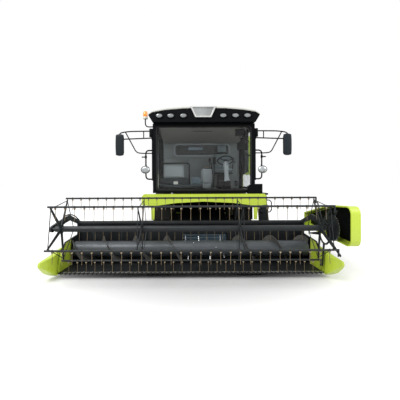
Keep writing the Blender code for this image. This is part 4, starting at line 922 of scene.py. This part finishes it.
class HARVESTER_OT_controls(bpy.types.Operator):
    """Steering wheel and column, console, monitors, levers and pedals"""

    bl_idname = "harvester.controls"
    bl_label = "Controls"

    def execute(self, context):
        lean = math.radians(28)
        hub = pin("steering_wheel_turn")
        tilt = turns_about("X", -lean)[0]

        def leaning(part):
            """A part made round Z at the origin, laid on the column's axis."""
            return part[0] @ tilt.T + hub, part[1]

        turn = np.arange(12) * np.pi / 6
        rim = turned(np.stack([0.18 + 0.0145 * np.cos(turn), 0.0135 * np.sin(turn)], -1), axis="Z", steps=48, ring=True)
        spokes = [tube(bend([(0, 0, -0.012), (0.10 * math.cos(a), 0.10 * math.sin(a), -0.014),
                             (0.178 * math.cos(a), 0.178 * math.sin(a), 0)], 0.06), 0.009, 8)
                  for a in np.radians([97, 217, 337])]
        boss = turned([(0, -0.03), (0.030, -0.03), (0.046, -0.012), (0.046, 0.006), (0.036, 0.015), (0, 0.017)],
                      axis="Z", steps=32)
        make("steering_wheel_rim", [leaning(part) for part in (rim, *spokes, boss)], "steering_wheel", "black satin",
             ("steering_wheel",))
        column = turned([(0, -0.035), (0.034, -0.035), (0.040, -0.06), (0.058, -0.075), (0.062, -0.16), (0.050, -0.20),
                         (0.046, -0.42), (0.055, -0.50), (0.07, -0.56), (0, -0.60)], axis="Z", steps=32)
        stalk = tube(bend([(0.03, 0, -0.09), (0.11, 0.02, -0.085), (0.17, 0.03, -0.06)], 0.04), 0.006, 8)
        make("column_cover", [leaning(column), leaning(stalk)], "chassis", "pale plastic",
             ("steering_column",), 0.002)
        foot = hub + tilt @ np.array([0, 0, -0.60])
        folds = np.linspace(0, 1, 15)
        boot = turned(np.stack([0.095 - 0.03 * folds + 0.006 * (-1) ** np.arange(15), foot[2] - 0.068 + 0.11 * folds], -1)
                      * [1, 1], (foot[0], foot[1], 0), "Z", 28)
        make("column_boot", boot, "chassis", "rubber")
        make("console_base", [soft_box((-1.0, -1.56, 1.489), (-0.02, -1.20, 1.60), 0.02),
                              soft_box((-0.98, -1.40, 1.60), (-0.33, -1.30, 1.755), 0.02),
                              soft_box((-0.99, -1.18, 1.489), (-0.60, -0.50, 1.72), 0.04)],
             "chassis", "dark plastic", ("operator_console",))
        make("console_locker", [soft_box((-0.27, -1.50, 1.595), (-0.05, -1.25, 1.76), 0.02),
                                soft_box((-0.24, -1.507, 1.63), (-0.08, -1.495, 1.73), 0.005, 2)],
             "chassis", "blue grey plastic")
        make("console_panel", [soft_box((-0.895, -1.38, 1.76), (-0.44, -1.31, 2.045), 0.02),
                               soft_box((-0.865, -1.392, 1.79), (-0.47, -1.375, 2.015), 0.006, 2)],
             "chassis", "pale plastic")
        make("console_display", soft_box((-0.675, -1.408, 1.605), (-0.57, -1.395, 1.672), 0.005, 2), "chassis",
             "rim enamel")
        rail = tube(bend([(-0.99, -1.42, 1.52), (-0.99, -1.42, 2.085), (-0.31, -1.42, 2.085), (-0.31, -1.42, 1.52)], 0.07),
                    0.014, 12)
        make("console_rail", rail, "chassis", "black satin")
        unit = [soft_box((0.20, -1.64, 2.05), (0.275, -1.60, 2.20), 0.014, 3),
                tube(bend([(0.238, -1.615, 2.06), (0.235, -1.61, 1.80), (0.20, -1.60, 1.49)], 0.1), 0.007, 8)]
        make("display_stand", unit, "chassis", "black satin")
        screens, shells, arms = [], [], []
        for x0, x1, z0, z1, y in ((0.73, 0.96, 2.70, 2.855, -1.42), (0.76, 1.00, 2.37, 2.535, -1.50)):
            shells.append(soft_box((x0, y, z0), (x1, y + 0.05, z1), 0.012, 3))
            screens.append(soft_box((x0 + 0.015, y + 0.046, z0 + 0.015), (x1 - 0.015, y + 0.054, z1 - 0.015), 0.003, 2))
            arms.append(tube(bend([(x0 + 0.12, y + 0.02, z0 + 0.02), (x0 + 0.10, y + 0.0, z0 - 0.06),
                                   (1.03, y - 0.05, z0 - 0.13)], 0.04), 0.010, 8))
        make("monitor_shells", shells + arms, "chassis", "black satin", bevel=0.0)
        make("monitor_screens", screens, "chassis", "screen")
        lever = tube(bend([(0.17, -0.93, 1.99), (0.17, -0.95, 2.06), (0.175, -0.99, 2.14)], 0.05), 0.009, 8)
        grip = soft_box((0.148, -1.015, 2.13), (0.202, -0.965, 2.235), 0.024, 4)
        make("lever_console", [soft_box((-0.01, -1.02, 1.62), (0.235, -0.62, 1.985), 0.05, 5),
                               soft_box((0.02, -0.98, 1.492), (0.20, -0.66, 1.64), 0.03, 3)],
             "chassis", "pale plastic")
        make("lever", [lever, grip, soft_box((0.04, -1.0, 1.975), (0.21, -0.70, 2.0), 0.01, 2)], "chassis",
             "black satin")
        knobs = turned([(0, 0), (0.016, 0), (0.016, 0.012), (0.010, 0.018), (0, 0.018)], axis="Z", steps=16)
        spots = [(0.08, y, 1.998) for y in (-0.92, -0.86, -0.80, -0.74)] + [(0.14, y, 1.998) for y in (-0.80, -0.74)]
        make("console_knobs", copies(knobs, spots), "chassis", "amber lens")
        pedals = [soft_box((x, -1.62, 1.56), (x + 0.075, -1.60, 1.68), 0.008, 2) for x in (0.40, 0.52, 0.68)]
        stems = [tube([(x + 0.037, -1.60, 1.62), (x + 0.037, -1.55, 1.495)], 0.010, 8) for x in (0.40, 0.52, 0.68)]
        make("pedals", pedals + stems, "chassis", "rubber")
        return {"FINISHED"}


# ---------------------------------------------------------------- roof and mirrors
class HARVESTER_OT_roof_fittings(bpy.types.Operator):
    """Work lamps, the bare badge frame and the beacon on the roof"""

    bl_idname = "harvester.roof_fittings"
    bl_label = "Roof fittings"

    def execute(self, context):
        front = corners("roof_fascia")[0][1]
        places = np.array([(x, front, 3.045) for x in (-0.94, -0.70, -0.434, 0.40, 0.657, 0.906)])
        oval = (1.12, 1.0, 0.70)
        bezel = turned([(0.058, 0.01), (0.076, 0.01), (0.076, -0.028), (0.070, -0.034), (0.060, -0.022)], axis="Y",
                       steps=40, ring=True)
        lens = turned([(0, -0.024), (0.03, -0.022), (0.0615, -0.014), (0.0615, 0.004), (0, 0.004)], axis="Y", steps=40)
        make("roof_lamp_bezels", copies(scaled(bezel, oval), places), "chassis", "black satin")
        make("roof_lamp_lenses", copies(scaled(lens, oval), places), "chassis", "roof lamp")
        outer = np.array([(-0.29, 3.232), (0.254, 3.232), (0.150, 3.0), (-0.185, 3.0)])
        inner = np.array([(-0.243, 3.204), (0.207, 3.204), (0.130, 3.030), (-0.166, 3.030)])
        make("badge_frame", ring_plate(outer, inner, (front - 0.052, front - 0.002)), "chassis", "badge silver",
             bevel=0.006)
        make("badge_mesh", plate(inner * [1.02, 1] + [0, 0], (front - 0.035, front - 0.003)), "chassis", "badge mesh",
             bevel=0.003)
        at = np.array([-1.277, -1.60, 0])
        base = turned([(0, 3.045), (0.045, 3.045), (0.052, 3.055), (0.052, 3.085), (0.046, 3.095), (0, 3.095)], at, "Z", 32)
        dome = turned([(0, 3.092), (0.046, 3.092), (0.050, 3.11), (0.048, 3.18), (0.036, 3.212), (0, 3.222)], at, "Z", 32)
        stem = tube(bend([(-1.09, -1.62, 2.87), (-1.277, -1.61, 2.87), (-1.277, -1.60, 3.05)], 0.09), 0.013, 10)
        make("beacon_base", base, "chassis", "rim enamel")
        make("beacon_dome", dome, "chassis", "amber lens")
        make("beacon_stem", stem, "chassis", "black satin")
        aerial = tube([(0.95, -0.30, 3.13), (0.95, -0.28, 3.27)], 0.003, 6)
        make("aerial", aerial, "chassis", "rubber")
        return {"FINISHED"}


class HARVESTER_OT_mirrors(bpy.types.Operator):
    """Mirror arms, shells and glasses, grab loops and the lamps on them"""

    bl_idname = "harvester.mirrors"
    bl_label = "Mirrors"

    def execute(self, context):
        pillar, y = 1.102, -1.71
        for label, side in SIDES:
            shell, _ = pad((1.735, y + 0.025, 2.225), (1.925, y + 0.085, 2.715), "Y", (), (), 8, 0.42)
            glass = plate(rounded((1.742, 1.918), (2.255, 2.68), 0.045), (y + 0.080, y + 0.086))
            tubes = [
                tube(bend([(pillar, y, 2.76), (1.62, y + 0.04, 2.762), (1.83, y + 0.055, 2.735), (1.83, y + 0.055, 2.66)],
                          0.10), 0.0135, 12),
                tube(bend([(pillar, y, 2.61), (1.74, y + 0.045, 2.595)], 0.05), 0.0135, 12),
                tube(bend([(1.70, y + 0.042, 2.745), (1.46, y + 0.02, 2.30), (1.34, y + 0.01, 2.28), (pillar, y, 2.28)],
                          0.07), 0.012, 12),
                tube([(1.30, y + 0.014, 2.76), (1.30, y + 0.014, 2.60)], 0.011, 10),
                tube(bend([(pillar, y, 2.34), (1.25, y - 0.015, 2.34), (1.25, y - 0.015, 1.72), (pillar, y, 1.72)], 0.08),
                     0.0155, 12),
                turned([(0, 2.63), (0.036, 2.63), (0.042, 2.64), (0.042, 2.80), (0.036, 2.81), (0, 2.81)],
                       (1.135, y, 0), "Z", 24),
                soft_box((pillar, y - 0.028, 1.69), (1.122, y + 0.028, 2.58), 0.006, 2),
                soft_box((pillar, y - 0.034, 2.57), (1.128, y + 0.034, 2.80), 0.008, 2)]
            bowl = scaled(turned([(0, 0.045), (0.045, 0.042), (0.082, 0.0), (0.098, -0.055), (0.094, -0.062),
                                  (0.080, -0.05), (0, -0.04)], axis="Y", steps=40), (1, 1, 0.84), (1.25, y - 0.035, 1.92))
            bracket = tube([(1.25, y - 0.02, 1.99), (1.25, y + 0.0, 2.03)], 0.018, 10)
            make(f"mirror_arms_{label}", [sided(part, side) for part in (*tubes, bracket)], "chassis", "black satin",
                 (f"mirror_{label}",))
            make(f"mirror_shell_{label}", sided(shell, side), "chassis", "mirror shell")
            make(f"mirror_glass_{label}", sided(glass, side), "chassis", "mirror glass", bevel=0.001)
            make(f"lamp_bowl_{label}", sided(bowl, side), "chassis", "black satin")
            # the lens: a dome whose rim is scalloped by facets
            lens = scaled(turned([(0, -0.085), (0.045, -0.083), (0.078, -0.072), (0.090, -0.058), (0.088, -0.045),
                                  (0, -0.045)], axis="Y", steps=20), (1, 1, 0.84), (1.25, y - 0.035, 1.92))
            make(f"lamp_lens_{label}", sided(lens, side), "chassis", "lamp lens")
            clamp = [soft_box((1.228, y - 0.037, 2.17), (1.272, y + 0.007, 2.23), 0.010, 3),
                     soft_box((1.255, y - 0.03, 2.185), (1.34, y - 0.005, 2.21), 0.008, 2)]
            make(f"loop_clamp_{label}", [sided(part, side) for part in clamp], "chassis", "black satin")
        return {"FINISHED"}


# ---------------------------------------------------------------- body
class HARVESTER_OT_body_details(bpy.types.Operator):
    """Ribs, louvres, screen, handles, lamps, tank auger, exhaust and tube fittings on the body"""

    bl_idname = "harvester.body_details"
    bl_label = "Body details"

    def execute(self, context):
        ribs, black, steel = [], [], []
        # tank: pressed ribs on its walls, a folded rim, and a cross auger over its floor
        for y in (0.16, 0.60, 1.04, 1.44):
            for s in (-1, 1):
                ribs.append(soft_box(*sorted(((s * 1.296, y - 0.03, 2.0), (s * 1.314, y + 0.03, 3.10))), 0.008, 2))
        for x in (-0.9, -0.3, 0.3, 0.9):
            ribs.append(soft_box((x - 0.03, 1.634, 2.84), (x + 0.03, 1.650, 3.10), 0.008, 2))
        make("tank_ribs", ribs, "chassis", "body paint")
        rim = [tube(bend([(-1.285, -0.125, 3.202), (1.285, -0.125, 3.202), (1.285, 1.625, 3.202), (-1.285, 1.625, 3.202),
                          (-1.285, -0.125, 3.202)], 0.02), 0.016, 10)]
        make("tank_rim", rim, "chassis", "body paint")
        route = np.linspace(-0.62, 0.62, 90)
        auger = [helicoid(route, (0, 0.75, 1.80), 0.026, 0.115, 5.0, 1),
                 tube(np.linspace([-0.64, 0.75, 1.80], [0.64, 0.75, 1.80], 3), 0.03, 16)]
        make("tank_auger", auger, "chassis", "worn steel")
        brace = [tube([(-1.27, y, 2.95), (1.27, y, 2.95)], 0.018, 10) for y in (0.40, 1.10)]
        make("tank_braces", brace, "chassis", "header paint")
        # engine deck: louvres on the left, a round air screen on the right, a grille at the back
        for z in np.arange(2.12, 2.55, 0.048):
            black.append(plate([(1.272, z), (1.300, z - 0.012), (1.303, z + 0.002), (1.275, z + 0.026)], (1.86, 2.34), "Y"))
        for z in np.arange(2.10, 2.60, 0.05):
            black.append(soft_box((-0.9, 2.974, z), (0.9, 2.992, z + 0.022), 0.006, 2))
        make("deck_louvres", black, "chassis", "black satin")
        frame_ring = ring_plate(rounded((1.82, 2.38), (2.07, 2.60), 0.03), rounded((1.86, 2.34), (2.11, 2.56), 0.02),
                                (1.276, 1.292), "X")
        make("louvre_frame", frame_ring, "chassis", "body paint", bevel=0.004)
        screen_at = (-1.28, 2.30, 2.32)
        hoop = turned([(0.27, 0.004), (0.30, 0.004), (0.30, -0.05), (0.285, -0.058), (0.27, -0.05)], screen_at, "X", 64,
                      ring=True)
        spokes = [tube([(-1.325, 2.30 + 0.04 * math.cos(a), 2.32 + 0.04 * math.sin(a)),
                        (-1.325, 2.30 + 0.278 * math.cos(a), 2.32 + 0.278 * math.sin(a))], 0.006, 6)
                  for a in np.arange(12) * np.pi / 6]
        rings = [turned([(r, 0.004), (r + 0.006, 0.0), (r, -0.004)], (-1.322, 2.30, 2.32), "X", 48, ring=True)
                 for r in np.arange(0.06, 0.27, 0.03)]
        boss = turned([(0, -0.058), (0.045, -0.052), (0.05, -0.03), (0, -0.03)], screen_at, "X", 24)
        disc = turned([(0, -0.026), (0.272, -0.026), (0.272, -0.002), (0, -0.002)], screen_at, "X", 48)
        make("air_screen", [hoop, *spokes, *rings, boss], "chassis", "header paint")
        make("air_screen_mesh", disc, "chassis", "badge mesh")
        pipe = turned([(0.0565, 2.781), (0.072, 2.781), (0.072, 2.795), (0.060, 2.80), (0.060, 3.203), (0.048, 3.203),
                       (0.048, 3.199), (0.0565, 3.199)], (-0.75, 2.30, 0), "Z", 32, ring=True)
        make("exhaust_pipe", pipe, "chassis", "casting")
        mouth = turned([(0, 3.2005), (0.05, 3.2005), (0.05, 3.2015), (0, 3.2015)], (-0.75, 2.30, 0), "Z", 24)
        make("exhaust_mouth", mouth, "chassis", "rubber")
        flaps = [sided(soft_box((0.79, -0.765, 0.72), (1.26, -0.750, 1.35), 0.006, 2), s) for _, s in SIDES]
        flaps += [sided(tube([(0.79, -0.745, 1.33), (1.26, -0.745, 1.33)], 0.014, 8), s) for _, s in SIDES]
        make("mud_flaps", flaps, "chassis", "rubber")
        guard = turned([(0.064, 2.80), (0.085, 2.80), (0.085, 3.06), (0.064, 3.06)], (-0.75, 2.30, 0), "Z", 32, ring=True)
        make("exhaust_guard", guard, "chassis", "worn steel")
        # side shields: a grab recess, latches and a beaded lower edge
        for label, s in SIDES:
            x = s * 1.341
            bead = tube(bend([(x, 0.98, 1.24), (x, 1.13, 1.01), (x, 2.95, 1.01)], 0.08), 0.010, 8)
            swage = tube(bend([(x, 0.95, 1.70), (x, 2.95, 1.70)], 0.05), 0.008, 8)
            make(f"shield_beads_{label}", [bead, swage], f"side_shield_{label}", "body paint")
            vents = [plate([(x - s * 0.004, z), (x + s * 0.012, z - 0.010), (x + s * 0.014, z + 0.002), (x - s * 0.004, z + 0.022)],
                           (1.30, 1.80), "Y") for z in np.arange(1.36, 1.60, 0.04)]
            make(f"shield_vents_{label}", vents, f"side_shield_{label}", "black satin")
            handle = tube(bend([(x, 1.86, 1.12), (x + s * 0.035, 1.86, 1.12), (x + s * 0.035, 2.06, 1.12),
                                (x, 2.06, 1.12)], 0.02), 0.008, 8)
            latches = [turned([(0, -0.002), (0.022, -0.002), (0.022, 0.008), (0.012, 0.014), (0, 0.014)], axis="X",
                              steps=20)]
            spots = [(x, 1.25, 1.10), (x, 2.80, 1.10)]
            make(f"shield_latches_{label}", [handle, copies(scaled(latches[0], (s, 1, 1)), spots)],
                 f"side_shield_{label}", "black satin")
        # straw hood: ribs, tail lamps, curtain and rear handle
        hood = [soft_box(*sorted(((s * 0.690, y - 0.03, 1.26), (s * 0.708, y + 0.03, 2.20 if y < 3.8 else 1.85))), 0.008, 2)
                for y in (3.35, 3.80, 4.20) for s in (-1, 1)]
        hood.append(soft_box((-0.5, 4.535, 1.28), (0.5, 4.560, 1.54), 0.012, 3))
        make("hood_ribs", hood, "chassis", "body paint")
        strips = np.arange(-8, 9) * 0.078
        curtain = copies(soft_box((-0.036, -0.004, -0.32), (0.036, 0.004, 0.02), 0.003, 2),
                         [(x, 4.51 - 0.004 * (k % 2), 1.21) for k, x in enumerate(strips)])
        make("straw_curtain", curtain, "chassis", "rubber")
        lamp_box = soft_box((-0.10, 0, -0.035), (0.10, 0.045, 0.035), 0.012, 3)
        lens_red = soft_box((-0.09, 0.04, -0.027), (0.02, 0.056, 0.027), 0.006, 3)
        lens_amber = soft_box((0.026, 0.04, -0.027), (0.09, 0.056, 0.027), 0.006, 3)
        for label, s in SIDES:
            at = (s * 0.58, 4.514, 1.60)
            make(f"tail_lamp_body_{label}", scaled(lamp_box, (1, 1, 1), at), "chassis", "black satin")
            make(f"tail_lamp_red_{label}", scaled(lens_red, (s, 1, 1), at), "chassis", "red lens")
            make(f"tail_lamp_amber_{label}", scaled(lens_amber, (s, 1, 1), at), "chassis", "amber lens")
        # a rear ladder to the engine deck, and a rail beside it
        for y in (3.06, 3.40):
            steel.append(tube(bend([(-0.80, y, 1.20), (-0.80, y, 2.42), (-0.70, y, 2.50)], 0.08), 0.015, 10))
        for z in (1.28, 1.58, 1.88, 2.18):
            steel.append(tube([(-0.80, 3.06, z), (-0.80, 3.40, z)], 0.013, 8))
        for y in (3.06, 3.40):
            steel.append(tube([(-0.80, y, 1.35), (-0.69, y, 1.35)], 0.012, 8))
        make("rear_steps", steel, "chassis", "header paint")
        hitch = [turned([(0, 0.58), (0.014, 0.58), (0.014, 0.90), (0.026, 0.91), (0.026, 0.93), (0, 0.93)],
                        (0, 4.47, 0.0), "Z", 20)]
        make("hitch_pin", hitch, "chassis", "worn steel")
        return {"FINISHED"}


class HARVESTER_OT_unloading_tube(bpy.types.Operator):
    """Round tube with an elbow, clamp rings and a rubber boot at its spout"""

    bl_idname = "harvester.unloading_tube"
    bl_label = "Unloading tube"

    def execute(self, context):
        x, y, z = pin("unloading_tube_swing")
        low, high = corners("unloading_tube")
        end = 3.95
        route = bend([(x, y, z - 0.49), (x, y, z + 0.01), (x, end, z + 0.055)], 0.15, 12)
        shell = tube(route, 0.1185, 32)
        spout_route = bend([(x, end - 0.12, z + 0.02), (x, end - 0.09, z - 0.16), (x, end - 0.04, z - 0.20)], 0.05)
        spout = tube(spout_route, 0.108, 28)
        make("tube_shell", [shell, spout], "unloading_tube", "body paint", ("unloading_tube",))
        rings = [turned([(0.118, -0.018), (0.132, -0.018), (0.132, 0.018), (0.118, 0.018)],
                        (x, at, z + 0.01 + 0.045 * (at - y) / (end - y)), "Y", 40, ring=True)
                 for at in (0.85, 1.95, 2.05, 3.15, 3.72)]
        rings.append(turned([(0.118, -0.018), (0.134, -0.018), (0.134, 0.018), (0.118, 0.018)], (x, y, z - 0.46), "Z", 40,
                            ring=True))
        make("tube_clamps", rings, "unloading_tube", "header paint")
        boot = turned([(0.109, -0.16), (0.116, -0.16), (0.118, -0.25), (0.113, -0.365), (0.104, -0.365), (0.106, -0.25)],
                      (x, end - 0.035, z), "Z", 36, ring=True)
        make("spout_boot", boot, "unloading_tube", "rubber")
        saddle = [soft_box((1.20, 2.60, 2.66), (1.34, 2.68, 2.755), 0.01, 2)]
        make("tube_saddle", saddle, "chassis", "header paint")
        return {"FINISHED"}


class HARVESTER_OT_running_gear(bpy.types.Operator):
    """Final drives, axle bolts and knuckle caps under the machine"""

    bl_idname = "harvester.running_gear"
    bl_label = "Running gear"

    def execute(self, context):
        cases, bolts = [], []
        head = turned([(0, 0), (0.013, 0), (0.013, 0.009), (0.008, 0.013), (0, 0.013)], axis="X", steps=6)
        for _, s in SIDES:
            case = turned([(0, 0.70), (0.16, 0.70), (0.19, 0.715), (0.19, 0.765), (0.15, 0.785), (0.075, 0.79),
                           (0.075, 0.80), (0, 0.80)], (0, 0, 0.69), "X", 40)
            cases.append(sided(case, s))
            angle = np.arange(12) * np.pi / 6
            spots = np.stack([np.full(12, s * 0.765), 0.172 * np.cos(angle), 0.69 + 0.172 * np.sin(angle)], -1)
            bolts.append(copies(scaled(head, (s, 1, 1)), spots))
        gearbox = soft_box((-0.20, -0.20, 0.56), (0.20, 0.16, 0.86), 0.05, 4)
        make("final_drives", [*cases, gearbox], "chassis", "casting")
        make("final_drive_bolts", bolts, "chassis", "worn steel")
        cap = turned([(0, 0.126), (0.028, 0.126), (0.028, 0.142), (0.016, 0.152), (0, 0.152)], axis="Z", steps=24)
        for label, s in SIDES:
            at = pin("steer_" + label)
            make(f"kingpin_cap_{label}", scaled(cap, (1, 1, 1), at), "knuckle_" + label, "worn steel")
        return {"FINISHED"}


# ---------------------------------------------------------------- stage
def floor_material():
    """Matt, with a painted shadow round the machine: its colour is greyer in an ellipse about the machine. Towards the
    camera it adds the little light that brings the open floor up to white, and holds that light back inside the ellipse
    as part of the painted shadow."""
    material = bpy.data.materials.new("pale floor")
    material.use_nodes = True
    tree = material.node_tree
    shader = tree.nodes["Principled BSDF"]
    shader.inputs["Roughness"].default_value = 0.9
    shader.inputs["Specular IOR Level"].default_value = 0.1
    shader.inputs["Emission Color"].default_value = (1, 1, 1, 1)
    place = tree.nodes.new("ShaderNodeTexCoord")
    squash = tree.nodes.new("ShaderNodeVectorMath")
    squash.operation = "MULTIPLY"
    squash.inputs[1].default_value = (1 / 3.0, 1 / 4.4, 0)
    link(tree, place.outputs["Object"], squash.inputs[0])
    away = tree.nodes.new("ShaderNodeVectorMath")
    away.operation = "LENGTH"
    link(tree, squash.outputs[0], away.inputs[0])
    # the painted shadow's edge: 0 inside the ellipse, rising smoothly to 1 outside it
    near = tree.nodes.new("ShaderNodeMapRange")
    near.interpolation_type = "SMOOTHSTEP"
    near.inputs["From Min"].default_value, near.inputs["From Max"].default_value = 0.80, 1.55
    link(tree, away.outputs["Value"], near.inputs["Value"])
    outside_painted_shadow = near.outputs["Result"]
    # painted shadow: grey 0.62 inside the ellipse, 0.90 on the open floor
    link(tree, mixed(tree, outside_painted_shadow, (0.62, 0.62, 0.62), (0.90, 0.90, 0.90)), shader.inputs["Base Color"])
    path = tree.nodes.new("ShaderNodeLightPath")
    # the camera-ray lift fades out inside the ellipse, so the painted shadow stays grey
    lift = math_node(tree, "MULTIPLY", outside_painted_shadow, 0.50)
    link(tree, math_node(tree, "MULTIPLY", path.outputs["Is Camera Ray"], lift), shader.inputs["Emission Strength"])
    return material


class HARVESTER_OT_stage(bpy.types.Operator):
    """Floor, soft light and the camera"""

    bl_idname = "harvester.stage"
    bl_label = "Stage"

    def execute(self, context):
        scene = context.scene
        floor_mesh = bpy.data.meshes.new("floor")
        reach = 150
        floor_mesh.from_pydata([(-reach, -reach, 0), (reach, -reach, 0), (reach, reach, 0), (-reach, reach, 0)], [],
                               [(0, 1, 2, 3)])
        floor = bpy.data.objects.new("floor", floor_mesh)
        scene.collection.objects.link(floor)
        floor_mesh.materials.append(floor_material())
        world = bpy.data.worlds.new("soft sky")
        world.use_nodes = True
        tree = world.node_tree
        background = tree.nodes["Background"]
        path = tree.nodes.new("ShaderNodeLightPath")
        seen = math_node(tree, "MAXIMUM", path.outputs["Is Camera Ray"], path.outputs["Is Transmission Ray"])
        seen = math_node(tree, "MAXIMUM", seen, path.outputs["Is Glossy Ray"])
        link(tree, ranged(tree, seen, 0, 1, 0.62, 1.0), background.inputs["Strength"])
        background.inputs["Color"].default_value = (1, 1, 1, 1)
        scene.world = world
        for name, place, power in (("key", (-5.0, -8.0, 9.5), 900), ("fill", (8.0, -6.0, 6.0), 330)):
            light = bpy.data.lights.new(name, "AREA")
            light.size, light.energy = 6.0, power
            lamp = bpy.data.objects.new(name, light)
            scene.collection.objects.link(lamp)
            lamp.location = place
            lamp.rotation_euler = (Vector((0, -1.5, 1.0)) - Vector(place)).to_track_quat("-Z", "Y").to_euler()
        camera_data = bpy.data.cameras.new("camera")
        camera_data.lens, camera_data.sensor_width = 25.74, 36
        camera_data.shift_x, camera_data.shift_y = 0.025, -0.042
        camera = bpy.data.objects.new("camera", camera_data)
        camera.location = (ORIGIN[0] - 0.30, ORIGIN[1] - scene.harvester_sizes.camera_distance, 1.63)
        camera.rotation_euler = (math.pi / 2, math.radians(0.25), 0)
        scene.collection.objects.link(camera)
        scene.camera = camera
        scene.view_settings.view_transform = "Standard"
        return {"FINISHED"}


class HARVESTER_PT_panel(bpy.types.Panel):
    """Lists the finish settings and the pieces"""

    bl_label = "Harvester"
    bl_idname = "HARVESTER_PT_panel"
    bl_space_type = "VIEW_3D"
    bl_region_type = "UI"
    bl_category = "Harvester"

    def draw(self, context):
        layout = self.layout
        for group in (context.scene.harvester_paint, context.scene.harvester_sizes):
            for label in group.bl_rna.properties.keys():
                if label not in ("rna_type", "name"):
                    layout.prop(group, label)
        for operator in OPERATORS:
            layout.operator(operator.bl_idname)


OPERATORS = (HARVESTER_OT_frame_finishes, HARVESTER_OT_wheels, HARVESTER_OT_reel_bats, HARVESTER_OT_auger,
             HARVESTER_OT_knife, HARVESTER_OT_header_trim, HARVESTER_OT_cab_lining, HARVESTER_OT_seat,
             HARVESTER_OT_controls, HARVESTER_OT_roof_fittings, HARVESTER_OT_mirrors, HARVESTER_OT_body_details,
             HARVESTER_OT_unloading_tube, HARVESTER_OT_running_gear, HARVESTER_OT_stage)
CLASSES = (HarvesterPaint, HarvesterSizes, *OPERATORS, HARVESTER_PT_panel)


def register():
    for entry in CLASSES:
        bpy.utils.register_class(entry)
    bpy.types.Scene.harvester_paint = bpy.props.PointerProperty(type=HarvesterPaint)
    bpy.types.Scene.harvester_sizes = bpy.props.PointerProperty(type=HarvesterSizes)


def unregister():
    del bpy.types.Scene.harvester_sizes
    del bpy.types.Scene.harvester_paint
    for entry in reversed(CLASSES):
        bpy.utils.unregister_class(entry)


def main():
    register()
    bpy.ops.harvester.frame_finishes()
    bpy.ops.harvester.wheels()
    bpy.ops.harvester.reel_bats()
    bpy.ops.harvester.auger()
    bpy.ops.harvester.knife()
    bpy.ops.harvester.header_trim()
    bpy.ops.harvester.cab_lining()
    bpy.ops.harvester.seat()
    bpy.ops.harvester.controls()
    bpy.ops.harvester.roof_fittings()
    bpy.ops.harvester.mirrors()
    bpy.ops.harvester.body_details()
    bpy.ops.harvester.unloading_tube()
    bpy.ops.harvester.running_gear()
    bpy.ops.harvester.stage()


if __name__ == "__main__":
    main()
